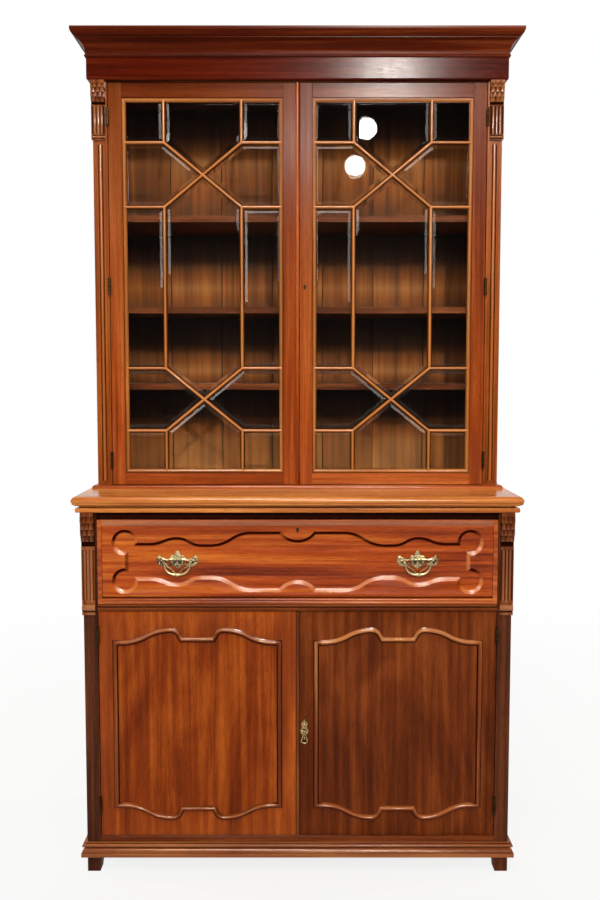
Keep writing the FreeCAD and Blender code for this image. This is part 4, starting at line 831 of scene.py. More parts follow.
    def tube(self, path: Array, radius: Array | float, sides: int = 14, ring: bool = False,
             tone: float = 0.0) -> None:
        """Carry a circle along a path on an upright plane.

        At each point the circle lies across the path: it is spanned by the depth direction and the
        path's own normal.

        Args:
            path: Points in space whose depth stays about the same.
            radius: The circle's radius, or that at each point.
            sides: Points round the circle.
            ring: Whether the path is closed.
            tone: Tone of the whole tube.
        """
        chords = np.roll(path, -1, axis=0) - np.roll(path, 1, axis=0)
        ahead = unit(chords if ring else np.gradient(path, axis=0))
        across = unit(np.cross(ahead, (0.0, 1.0, 0.0)))
        out = np.cross(across, ahead)
        angles = full_turn(sides)[:, None, None]
        circle = np.cos(angles) * across + np.sin(angles) * out
        reach = np.broadcast_to(radius, len(path))[:, None]
        surface = np.swapaxes(path + circle * reach, 0, 1)
        if ring:
            surface = np.concatenate([surface, surface[:1]])
        self.grid(surface, Grain.ALONG_X, tone, ring=True, caps=not ring)

    def bar(self, middle: Corner, reach: float, radius: float, sides: int) -> None:
        """A straight round bar along x, which reaches as far to both sides of its middle."""
        self.tube(np.array(middle) + reach * np.array([(-1, 0, 0), (1, 0, 0)]), radius, sides)

    def boss(self, centre: Corner, reach: Corner, height: float, lean: float = 0.0) -> None:
        """A dome on an upright face: rings that shrink by a cosine as they rise by a sine.

        Args:
            centre: The middle of its foot.
            reach: Half of its width and half of its height on the face.
            height: How far it stands out.
            lean: Turn about its middle, in degrees.
        """
        rise = np.radians(np.array([0.0, 25.0, 50.0, 72.0, 86.0]))[:, None]
        angles = full_turn(16)
        x = np.cos(rise) * np.cos(angles) * reach[0]
        z = np.cos(rise) * np.sin(angles) * reach[1]
        cosine, sine = math.cos(math.radians(lean)), math.sin(math.radians(lean))
        turned = joined(x * cosine - z * sine, -np.sin(rise) * height, x * sine + z * cosine)
        self.grid(turned + np.array(centre), Grain.ALONG_X, np.sin(rise) * 0.7 - 0.35, ring=True, caps=True)

    def piece(self, name: str, finish: Finish, body: str, nodes: tuple[str, ...] = (), weld: bool = False,
              sharp: float = SHARP) -> None:
        """Make the object, with its faces turned outwards.

        Args:
            name: The piece's name.
            finish: Its finish.
            body: The body that it rides on.
            nodes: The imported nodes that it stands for.
            weld: Whether points at one place are joined.
            sharp: The angle between faces from which an edge is sharp, in degrees.
        """
        mesh = bpy.data.meshes.new(name)
        mesh.from_pydata(np.concatenate(self.points).tolist(), [], self.faces)
        carried = mesh.attributes.new("grain", "FLOAT_VECTOR", "POINT")
        carried.data.foreach_set("vector", np.concatenate(self.grain).astype(np.float32).ravel())
        toned = mesh.attributes.new("tone", "FLOAT", "POINT")
        toned.data.foreach_set("value", np.concatenate(self.tone).astype(np.float32))
        work = bmesh.new()
        work.from_mesh(mesh)
        if weld:
            bmesh.ops.remove_doubles(work, verts=work.verts, dist=self.WELD)
            bmesh.ops.dissolve_degenerate(work, edges=work.edges, dist=self.LEAST_EDGE)
        bmesh.ops.recalc_face_normals(work, faces=work.faces)
        work.to_mesh(mesh)
        work.free()
        mesh.shade_smooth()
        mesh.set_sharp_from_angle(angle=math.radians(sharp))
        mesh.materials.append(finish.material(Grain.CARRIED))
        made = placed(name, mesh)
        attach(made, body)
        if nodes:
            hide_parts(*nodes)
        log.info("%s: %d faces on %s", name, len(mesh.polygons), body)


def points_of(node: str) -> Array:
    """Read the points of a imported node's mesh.

    Args:
        node: The node's name.

    Returns:
        Its points, one row each.
    """
    mesh = frame["nodes"][node].data
    points = np.empty(len(mesh.vertices) * 3, np.float32)
    mesh.vertices.foreach_get("co", points)
    return points.reshape(-1, 3).astype(float)


def corners_of(node: str) -> tuple[Array, Array]:
    """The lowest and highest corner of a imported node."""
    low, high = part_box(node)
    return np.array(low), np.array(high)


def right_half(node: str) -> tuple[Array, Array]:
    """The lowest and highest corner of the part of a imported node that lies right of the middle."""
    kept = points_of(node)[points_of(node)[:, 0] > 0]
    return kept.min(axis=0), kept.max(axis=0)


@dataclass
class BaseRails:
    """The rails between the posts of the base, with painted shade on the highest ones, under the writing top.
    """

    node: str = "base_rails"
    gap: float = 100 * MM  # the least distance between two rails
    # The tone of painted shade: under the writing top and in the quirk.
    painted_shade: float = -0.9
    quirk: Corner = (0.5, 0.62)  # its lower and upper edge, as shares of the rail
    quirk_depth: float = 2 * MM
    strip_tones: Corner = (-0.5, 0.1)
    # A painted highlight on the bead, stronger at its top.
    bead_tones: Corner = (0.3, 0.6)
    bead_ease: float = 2.2 * MM

    def split(self, points: Array, axis: int) -> list[Array]:
        """Part points wherever they leave a gap along an axis."""
        ordered = points[np.argsort(points[:, axis])]
        return np.split(ordered, np.flatnonzero(np.diff(ordered[:, axis]) > self.gap) + 1)

    def build(self) -> None:
        """Make a board in the place of each rail, with a bead on the front rail under the drawer."""
        skin = Skin(15)
        levels = self.split(points_of(self.node), 2)
        for level in levels:
            # Painted shade on the highest rails, under the writing top.
            shade = self.painted_shade if level is levels[-1] else 0.0
            rails = self.split(level, 1)
            for rail in rails:
                low, high = rail.min(axis=0), rail.max(axis=0)
                if level is levels[1] and rail is rails[0]:
                    self.beaded(skin, low, high)
                else:
                    skin.board(low, high, Grain.ALONG_X, (shade, shade))
        skin.piece("front_and_top_rails", RAIL_WOOD, "carcase", (self.node,))

    def beaded(self, skin: Skin, low: Array, high: Array) -> None:
        """A rail with a bead scratched along its front: two strips, with a quirk in painted shade set back
        between them, and a painted highlight on the bead.

        Args:
            skin: The surface to add to.
            low: The rail's lowest corner.
            high: The rail's highest corner.
        """
        (x0, y0, z0), (x1, y1, z1) = low, high
        first, second = (z0 + share * (z1 - z0) for share in self.quirk)
        skin.board(low, (x1, y1, first), Grain.ALONG_X, self.strip_tones)
        skin.board((x0, y0 + self.quirk_depth, first), (x1, y1, second), Grain.ALONG_X, (self.painted_shade,) * 2)
        skin.board((x0, y0, second), high, Grain.ALONG_X, self.bead_tones, self.bead_ease)


@dataclass
class BackBoards:
    """Upright boards across the back of the bookcase, each joined to the next by a loose tongue.

    Their faces have painted shadow under each shelf and painted light lower down."""

    node: str = "bookcase_back_boards"
    roof: float = 2.206  # the underside of the top board
    depths: Corner = (-1 * MM, 80 * MM, 165 * MM)  # below a shelf, where the tone bends
    # Painted shadow below a shelf, and painted light lower down.
    tones: Corner = (-0.97, -0.85, 0.36)
    # How strong each board's painted light is.
    fading: Corner = (0.5, 1.3, 0.8, 1.5, 0.9, 1.4, 0.6)
    edge_tone: float = -0.9
    ease: float = 1.4 * MM
    tongue: float = 3 * MM  # how far it reaches behind a board's edge
    tongue_half: float = 1 * MM
    tongue_ease: float = 0.1 * MM

    def shades(self, low: float, high: float) -> tuple[Array, Array]:
        """Find where the tone bends: painted shadow at a shelf's underside and painted light well below it.

        Args:
            low: The boards' lower end.
            high: The boards' upper end.

        Returns:
            The heights in rising order, and their tones.
        """
        levels = np.unique(points_of("shelves")[:, 2].round(4))
        ceilings = np.append(levels[levels > low][::2], self.roof)
        heights = (ceilings[:, None] - np.array(self.depths)[::-1]).ravel()
        tones = np.tile(self.tones[::-1], len(ceilings))
        return (np.concatenate([[low], heights, [high]]),
                np.concatenate([[self.tones[-1]], tones, [self.tones[0]]]))

    def build(self) -> None:
        """Carry each board's eased section up the case, with painted shadow and light on its front alone, and
        add the tongues.
        """
        skin = Skin(16)
        points = points_of(self.node)
        (_, front, low), (_, rear, high) = points.min(axis=0), points.max(axis=0)
        heights, tones = self.shades(low, high)
        edges = np.unique(points[:, 0].round(4)).reshape(-1, 2)
        ease, middle, half = self.ease, (front + rear) / 2, self.tongue_half
        for (left, right), fading in zip(edges, self.fading):
            x = np.array([left + ease, right - ease, right, right, left, left])
            y = np.array([front, front, front + ease, rear, rear, front + ease])
            # Each board's own share of painted light.
            with_painted_light = np.where(tones > 0, tones * fading, tones)[:, None]
            tone = np.where(y == front, with_painted_light, np.where(y == rear, 0.0, self.edge_tone))
            skin.grid(joined(x, y, heights[:, None]), Grain.ALONG_Z, tone, ring=True, caps=True)
        for (_, left), (right, _) in zip(edges, edges[1:]):
            skin.board((left - self.tongue, middle - half, low), (right + self.tongue, middle + half, high),
                       Grain.ALONG_Z, (self.edge_tone,) * 2, self.tongue_ease)
        skin.piece("bookcase_back_panel", PALE_TIMBER, "carcase", (self.node,))


@dataclass
class Moulding:
    """A moulding round the front and both ends of a case, mitred at its front corners."""

    name: str
    node: str
    finish: Mahogany
    half: float
    face: float
    back: float
    profile: list[Corner]  # reach, height and bend, in millimetres
    grain: Grain | None = None  # none where it follows the moulding

    def build(self) -> None:
        """Carry the profile round three sides.

        A point of the profile that reaches r in front of the case is at half + r on the ends and face - r
        on the front.
        """
        section = trace(metres(self.profile), pitch=1.2 * MM)
        reach, height = section.T
        side, front = self.half + reach, self.face - reach
        surface = np.stack([joined(-side, self.back, height), joined(-side, front, height),
                            joined(side, front, height), joined(side, self.back, height)])
        depth, width = self.back - self.face, self.half * 2
        along = np.array([0.0, depth, depth + width, depth * 2 + width])
        carried = joined(along[:, None], travelled(section), 0.0)
        skin = Skin(len(self.name))
        skin.grid(surface, carried if self.grain is None else self.grain, turn_tone(section), ring=True,
                  caps=True)
        skin.piece(self.name, self.finish, "carcase", (self.node,), weld=True)


class CaseMouldings:
    """Every moulding round the base and the bookcase."""

    def __init__(self) -> None:
        """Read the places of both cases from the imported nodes."""
        self.base_low, self.base_high = corners_of("base_posts")[0], corners_of("base_sides")[1]
        self.book_low, self.book_high = corners_of("bookcase_posts")[0], corners_of("bookcase_sides")[1]

    def plinth(self, low: float, _high: float) -> list[Corner]:
        """A square foot, a swept cyma, a groove, a torus and a cap."""
        return [(0, low), (15, low), (15, low + 11), (13.4, low + 11), (5, low + 23, 13.0), (5, low + 27),
                (8, low + 27), (12.5, low + 31.5, 4.5), (8, low + 36, 4.5), (5, low + 36), (5, low + 39),
                (0, low + 39)]

    def under_moulding(self, low: float, _high: float) -> list[Corner]:
        """A tall rounded lip with a quirk and a small hollow above it, under a square fillet."""
        return [(-45, low), (12.5, low), (16, low + 3.5, 3.5), (16, low + 10), (14, low + 12, 2.0),
                (6, low + 12), (6, low + 14), (11, low + 18, -4.5), (16, low + 18), (16, low + 20),
                (-45, low + 20)]

    def desk_top(self, low: float, high: float) -> list[Corner]:
        """The whole top: its nosing is a large round over a small one, and its inner edge is the back."""
        inner = (self.base_low[1] - self.base_high[1]) / MM
        return [(inner, low), (17, low), (23, low + 4, 7.0), (23, low + 7.5), (25, low + 9),
                (25, low + 13), (12, high, 13.0), (inner, high)]

    def base_bead(self, low: float, high: float) -> list[Corner]:
        """A square strip with one round edge."""
        return [(0, low), (15, low), (15, high - 8), (7, high, 8.0), (0, high)]

    def cornice(self, low: float, high: float) -> list[Corner]:
        """A bead, a deep cavetto, a step, an ovolo and a square fillet."""
        return [(0, low), (13.5, low), (18, low + 4.5, 4.5), (13.5, low + 9, 4.5), (15.5, low + 9),
                (36, low + 47, -40.0), (38.5, low + 47), (38.5, low + 50), (51, low + 68, 21.5),
                (51, high), (0, high)]

    def build(self) -> None:
        """Make the five mouldings, from the floor up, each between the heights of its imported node."""
        base = (self.base_high[0], self.base_low[1], self.base_high[1])
        book = (self.book_high[0], self.book_low[1], self.book_high[1])
        for name, node, finish, case, profile, grain in (
                ("plinth", "plinth_moulding", PLINTH_WOOD, base, self.plinth, None),
                ("under_moulding", "desk_top_moulding", DESK_WOOD, base, self.under_moulding, None),
                ("writing_top", "desk_top", DESK_WOOD, base, self.desk_top, Grain.ALONG_X),
                ("bookcase_foot_bead", "bookcase_base_bead", FRAME_WOOD, book, self.base_bead, None),
                ("cornice", "cornice_moulding", CORNICE_WOOD, book, self.cornice, None)):
            low, high = (corner[2] / MM for corner in corners_of(node))
            Moulding(name, node, finish, *case, profile(low, high), grain).build()


@dataclass
class Keyhole:
    """A keyhole: a round eye over a slot, as a plate of painted shade a hair in front of a face, in a thread
    of brass.
    """

    name: str
    body: str
    radius: float = 3.4 * MM
    slot: float = 2.0 * MM  # half of its width
    length: float = 7.5 * MM
    thread: float = 1.0 * MM
    sunk: float = 0.2 * MM  # how far plate and thread reach behind the face
    plate_proud: float = 0.15 * MM
    thread_proud: float = 0.25 * MM

    def build(self, x: float, z: float, face: float) -> None:
        """Make the plate and its thread.

        Args:
            x: Where the eye's middle is along x.
            z: Its height.
            face: The depth of the face.
        """
        radius, slot, length = self.radius, self.slot, self.length
        meet = math.sqrt(radius * radius - slot * slot)
        corners = [(slot, -length), (slot, -meet), (0, radius, radius), (-slot, -meet, radius),
                   (-slot, -length)]
        loop = trace(corners, pitch=0.6 * MM) + np.array([x, z])
        skin = Skin(3)
        rows = [upright(loop, face + self.sunk), upright(loop, face - self.plate_proud)]
        skin.grid(np.stack(rows), Grain.ALONG_X, ring=True, caps=True)
        # The plate paints the shade inside the hole.
        skin.piece(self.name, KEYHOLE_SHADE, self.body)
        rim = Skin(4)
        section = np.array([(0.0, -self.sunk), (0.0, self.thread_proud), (-self.thread, self.thread_proud),
                            (-self.thread, -self.sunk)])
        rim.band(loop, section, face, np.zeros(len(section)))
        rim.piece(f"{self.name}_thread", HINGE_BRASS, self.body)


@dataclass
class GlazedDoor:
    """One bookcase door: framed boards, a lattice of astragal bars and bevelled panes."""

    side: Side
    bar_offset: float = 110 * MM  # from the opening's middle to an upright bar
    lattice_end: float = 123 * MM  # from the opening's end to a level bar
    lattice_cross: float = 180 * MM  # the height of a cross of bars
    bar_width: float = 13.5 * MM
    bead_width: float = 12 * MM
    bar_depth: float = 10 * MM
    overrun: float = 1 * MM  # of a bar into those that it meets
    fillet: float = 8 * MM
    web: float = 1.9 * MM  # half of the space between two panes
    bevel: float = 14 * MM
    edge: float = 1.0 * MM  # the thickness of a bevelled edge
    # Painted shade that deepens towards the top, under the cornice, on the stiles and the upper rail; the
    # lower rail is a touch lighter.
    stile_tones: Corner = (0.1, -0.7)
    lower_tones: Corner = (0.05, 0.05)
    upper_tones: Corner = (-0.65, -0.75)
    # Painted shade at a bar's foot, and a painted highlight on its nose.
    bar_tones: Corner = (-1.7, 2.4)  # at a bar's foot, and what its nose adds
    bar_limits: Corner = (-0.95, 0.6)
    # Painted shade beside the opening bead's round, and a painted highlight on it.
    bead_tones: Corner = (-0.6, 0.4, -0.9)  # outside, on the round and inside

    def __post_init__(self) -> None:
        """Read the door's and its opening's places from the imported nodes, and set out the lattice."""
        self.word = self.side.word
        self.body = f"upper_{self.word}_door"
        self.low, self.high = corners_of(f"upper_{self.word}_door_frame")
        (self.x0, bar_face, self.z0), (self.x1, self.glass_back, self.z1) = corners_of(
            f"upper_{self.word}_glazing_bars")
        self.glass_face = bar_face + self.bar_depth
        self.middle = (self.x0 + self.x1) / 2
        self.left, self.right = self.middle - self.bar_offset, self.middle + self.bar_offset
        lower, upper = self.z0 + self.lattice_end, self.z1 - self.lattice_end
        self.levels = [lower, lower + self.lattice_cross, upper - self.lattice_cross, upper]

    def frame_boards(self) -> None:
        """Two stiles with upright grain, two rails with level grain and the fillets behind the glass."""
        skin = Skin(self.side.value + 41)
        (x0, y0, z0), (x1, y1, z1) = self.low, self.high
        a0, a1, c0, c1 = self.x0, self.x1, self.z0, self.z1
        for left, right in ((x0, a0), (a1, x1)):
            skin.board((left, y0, z0), (right, y1, z1), Grain.ALONG_Z, self.stile_tones)
        skin.board((a0, y0, z0), (a1, y1, c0), Grain.ALONG_X, self.lower_tones)
        skin.board((a0, y0, c1), (a1, y1, z1), Grain.ALONG_X, self.upper_tones)
        back, edge = self.glass_back, self.fillet
        for low in (c0, c1 - edge):
            skin.board((a0, back, low), (a1, y1, low + edge), Grain.ALONG_X)
        for left in (a0, a1 - edge):
            skin.board((left, back, c0 + edge), (left + edge, y1, c1 - edge), Grain.ALONG_Z)
        skin.piece(f"{self.word}_bookcase_door_frame", FRAME_WOOD, self.body,
                   (f"upper_{self.word}_door_frame",))

    def astragal(self) -> Array:
        """A bar's section: a round nose, half an ellipse, on two square fillets.

        Returns:
            The place across the bar and the height in front of the glass of each point.
        """
        nose_width, nose_foot, shoulder, step = 0.66, 0.32, 0.72, 0.22
        half, depth = self.bar_width / 2, self.bar_depth
        angles = np.linspace(0, math.pi, 15)
        nose = joined(np.cos(angles) * half * nose_width,
                      depth * (nose_foot + (1 - nose_foot) * np.sin(angles)))
        foot = np.array([(half, 0.0), (half, depth * step), (half * shoulder, depth * step)])
        return np.concatenate([foot, nose, foot[::-1] * (-1, 1)])

    def lines(self) -> list[tuple[Corner, Corner]]:
        """Set out the bars: three uprights each side, a level pair at each level and two crosses.

        Returns:
            The start and end of each bar, in x and height.
        """
        left, right, levels = self.left, self.right, self.levels
        edge = self.bead_width / 2
        made = []
        for x in (left, right):
            made += [((x, self.z0 + edge), (x, levels[0])), ((x, levels[1]), (x, levels[2])),
                     ((x, levels[3]), (x, self.z1 - edge))]
        for level in levels:
            made += [((self.x0 + edge, level), (left, level)), ((right, level), (self.x1 - edge, level))]
        for low, high in (levels[:2], levels[2:]):
            made += [((left, low), (right, high)), ((left, high), (right, low))]
        return made

    def opening_bead(self) -> tuple[Array, Array]:
        """The bead round the opening: a quarter round with a step outside it and another inside.

        Returns:
            The section, and the tone of each of its points: painted shade beside the round and a painted
            highlight on it.
        """
        outer, inner, step, foot = 0.2, 0.9, 0.8, 0.3
        width, depth = self.bead_width, self.bar_depth
        angles = np.linspace(0, math.pi / 2, 9)
        curve = joined(width * (outer + (inner - outer) * np.sin(angles)),
                       depth * (foot + (1 - foot) * np.cos(angles)))
        section = np.concatenate([[(0, 0), (0, depth * step), (width * outer, depth * step)], curve,
                                  [(width, depth * foot), (width, 0)]])
        outside, round_tone, within = self.bead_tones
        return section, np.concatenate([[outside] * 3, round_tone * np.sin(2 * angles), [within] * 2])

    def lattice(self) -> None:
        """Carry the astragal along each line, with painted shade at its foot and a painted highlight on its
        nose, and the bead round the opening.
        """
        skin = Skin(self.side.value + 51)
        section = self.astragal()
        across, height = section.T
        # Painted shade at the foot, painted highlight on the nose.
        tone = np.clip(height / self.bar_depth * self.bar_tones[1] + self.bar_tones[0], *self.bar_limits)
        for start, end in np.array(self.lines()):
            length = np.linalg.norm(end - start)
            ahead = (end - start) / length
            ends = np.stack([start - ahead * self.overrun, end + ahead * self.overrun])[:, :, None]
            surface = joined(ends[:, 0] + across * ahead[1], self.glass_face - height,
                             ends[:, 1] - across * ahead[0])
            carried = joined(np.array([[0.0], [length]]), across, height)
            skin.grid(surface, carried, tone, ring=True, caps=True)
        opening = np.array([(self.x0, self.z0), (self.x1, self.z0), (self.x1, self.z1), (self.x0, self.z1)])
        bead, shade = self.opening_bead()
        skin.band(opening, bead, self.glass_face, shade)
        skin.piece(f"{self.word}_glazing_bars", BAR_WOOD, self.body,
                   (f"upper_{self.word}_glazing_bars",))

    def cells(self) -> list[list[Corner]]:
        """Set out the panes, which fill the spaces between the bars.

        Returns:
            The outline of each pane, in x and height.
        """
        x0, x1, left, right = self.x0, self.x1, self.left, self.right
        made = []
        centre = []
        for base, first, second, sign in ((self.z0, *self.levels[:2], 1), (self.z1, *self.levels[:1:-1], -1)):
            cross = (self.middle, (first + second) / 2)
            made += [[(x0, base), (left, base), (left, first), (x0, first)],
                     [(right, base), (x1, base), (x1, first), (right, first)],
                     [(left, base), (right, base), (right, first), cross, (left, first)],
                     [(x0, first), (left, first), cross, (left, second), (x0, second)],
                     [(x1, first), (x1, second), (right, second), cross, (right, first)]]
            centre += [(left, second), cross, (right, second)][::sign]
        low, high = self.levels[1:3]
        return made + [[(x0, low), (left, low), (left, high), (x0, high)],
                       [(right, low), (x1, low), (x1, high), (right, high)], centre]

    def panes(self) -> None:
        """Bevel each pane: its face is inset from its thin edge, and its back is flat."""
        skin = Skin(self.side.value + 61)
        for corners in self.cells():
            loop = np.array(corners)
            if crossed(*sides_of(loop)).sum() < 0:
                loop = loop[::-1]
            outer = inset(loop, self.web)
            inner = inset(loop, self.web + self.bevel)
            rows = [upright(outer, self.glass_back), upright(outer, self.glass_back - self.edge),
                    upright(inner, self.glass_face)]
            skin.grid(np.stack(rows), Grain.ALONG_X, ring=True, caps=True)
        skin.piece(f"{self.word}_bevelled_panes", PANE_GLASS, self.body,
                   (f"upper_{self.word}_panes",), sharp=4.0)

    def build(self) -> None:
        """Make the frame, the lattice, the panes and, on the right, the keyhole."""
        self.frame_boards()
        self.lattice()
        self.panes()
        if self.side is Side.RIGHT:
            lock_low, lock_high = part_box("upper_door_lock")
            centre = (lock_low + lock_high) / 2
            Keyhole("bookcase_keyhole", self.body).build(centre.x, centre.z, self.low[1])


@dataclass
class CupboardDoor:
    """One cupboard door: a flush panel with a raised serpentine moulding."""

    side: Side
    finish: Mahogany
    rim: float  # the tone at the panel's edge
    rim_fade: float = 50 * MM
    field_tone: float = -0.1
    ease: float = 1.2 * MM
    columns: int = 90
    rows: int = 106
    width: float = 15 * MM
    height: float = 8 * MM
    fillet: float = 2.0 * MM
    step: float = 1.6 * MM
    swell_foot: float = 2.6 * MM
    swell_rise: float = 5.4 * MM
    swell_shift: float = 0.6 * MM
    margin: float = 87 * MM  # from the panel's end to the moulding's level part
    run: float = 20 * MM  # the length of that part
    crest: float = 35 * MM
    crest_offset: float = 72 * MM
    crest_radius: float = 24 * MM
    drop_angle: float = 62.0
    flat_rise: float = 9 * MM

    def __post_init__(self) -> None:
        """Read the door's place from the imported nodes."""
        self.word = self.side.word
        self.body = f"base_{self.word}_door"
        self.low, self.high = corners_of(f"base_{self.word}_door_panel")
        mould_low, mould_high = corners_of(f"base_{self.word}_door_moulding")
        self.middle = (mould_low + mould_high)[0] / 2
        self.reach = (mould_high - mould_low)[0] / 2 - self.width / 2

    def serpentine(self) -> list[Corner]:
        """Draw the moulding's shaped end: level, an S-curve of two equal arcs up to a crest, a quick turn, a
        short slope down to a flat, and the same mirrored.

        Returns:
            Its corners from left to right, about the middle of the level part.
        """
        run = self.reach - self.run - self.crest_offset
        swing = (run * run + self.crest * self.crest) / self.crest / 4
        sine, cosine = (call(math.radians(self.drop_angle)) for call in (math.sin, math.cos))
        line_end = self.crest - self.crest_radius * (1 - cosine)
        turn_x = self.crest_radius * sine - self.crest_offset
        flat_x = turn_x + (line_end - self.flat_rise) * cosine / sine
        left = [(-self.reach, 0.0), (-self.reach + self.run, 0.0),
                (-self.reach + self.run + run / 2, self.crest / 2, swing),
                (-self.crest_offset, self.crest, -swing),
                (turn_x, line_end, -self.crest_radius), (flat_x, self.flat_rise)]
        return left + turned_back(flipped(left, 0))

    def loop(self) -> Array:
        """Draw the moulding's middle line, round the panel.

        Returns:
            Points of the line, in x and height.
        """
        top = self.high[2] - self.margin
        bottom = self.low[2] + self.margin
        lower = [(x + self.middle, z + bottom, *bend) for x, z, *bend in flipped(self.serpentine(), 1)]
        upper = [(x + self.middle, z + top, *bend) for x, z, *bend in turned_back(self.serpentine())]
        return trace(lower + upper, pitch=3 * MM)

    def section(self) -> Array:
        """Draw the moulding's section: a tall round between a small fillet outside and a hollow step inside.

        Returns:
            The inset and the height of each point.
        """
        angles = np.linspace(math.pi, 0, 13)
        half = self.width / 2
        swell = joined(-self.swell_shift + np.cos(angles) * half * 0.72,
                       self.swell_foot + np.sin(angles) * self.swell_rise)
        return np.concatenate([[(-half, 0), (-half, self.fillet)], swell, [(half, self.step), (half, 0)]])

    def panel(self, loop: Array) -> None:
        """A slab whose front is a fine grid, darker within the moulding than outside it.

        Args:
            loop: The moulding's middle line.
        """
        (x0, y0, z0), (x1, y1, z1) = self.low, self.high
        columns = np.concatenate([[x0], np.linspace(x0, x1, self.columns), [x1]])
        rows = np.concatenate([[z0], np.linspace(z0, z1, self.rows), [z1]])
        drops = [np.zeros(len(line)) for line in (columns, rows)]
        for drop in drops:
            drop[[0, -1]] = y1 - y0
            drop[[1, -2]] = self.ease
        x, z = columns[None], rows[:, None]
        points = joined(x, y0 + np.maximum(drops[1][:, None], drops[0]), z)
        edge = np.minimum(np.minimum(x - x0, x1 - x), np.minimum(z - z0, z1 - z))
        tone = np.where(inside(joined(x, z), loop), self.field_tone, self.rim * np.exp(-edge / self.rim_fade))
        skin = Skin(self.side.value + 71)
        skin.grid(points, Grain.ALONG_Z, tone, back=True)
        skin.piece(f"{self.word}_cupboard_panel", self.finish, self.body,
                   (f"base_{self.word}_door_panel",), sharp=25.0)

    def moulding(self, loop: Array) -> None:
        """Carry the section along its line, with painted shade at its foot, where it faces down and on the
        upright runs, and a painted highlight on its top.

        Args:
            loop: The moulding's middle line.
        """
        skin = Skin(self.side.value + 81)
        section = self.section()
        # Painted light: shade at the foot, where the round faces down and on upright runs; a highlight where
        # it faces up.
        shade = np.clip(section[:, 1] / self.height * 1.6 - 1.2, -0.9, 0.1)
        inward = facing(loop)
        lean = np.outer(section[:, 0] / self.width * 2, inward[:, 1])
        tone = np.clip(shade[:, None] + lean - 0.3 * np.abs(inward[:, 0]), -1, 1)
        skin.band(loop, section, self.low[1], tone)
        skin.piece(f"{self.word}_cupboard_moulding", MOULD_WOOD, self.body,
                   (f"base_{self.word}_door_moulding",))

    def build(self) -> None:
        """Make the panel and its moulding."""
        loop = self.loop()
        self.panel(loop)
        self.moulding(loop)


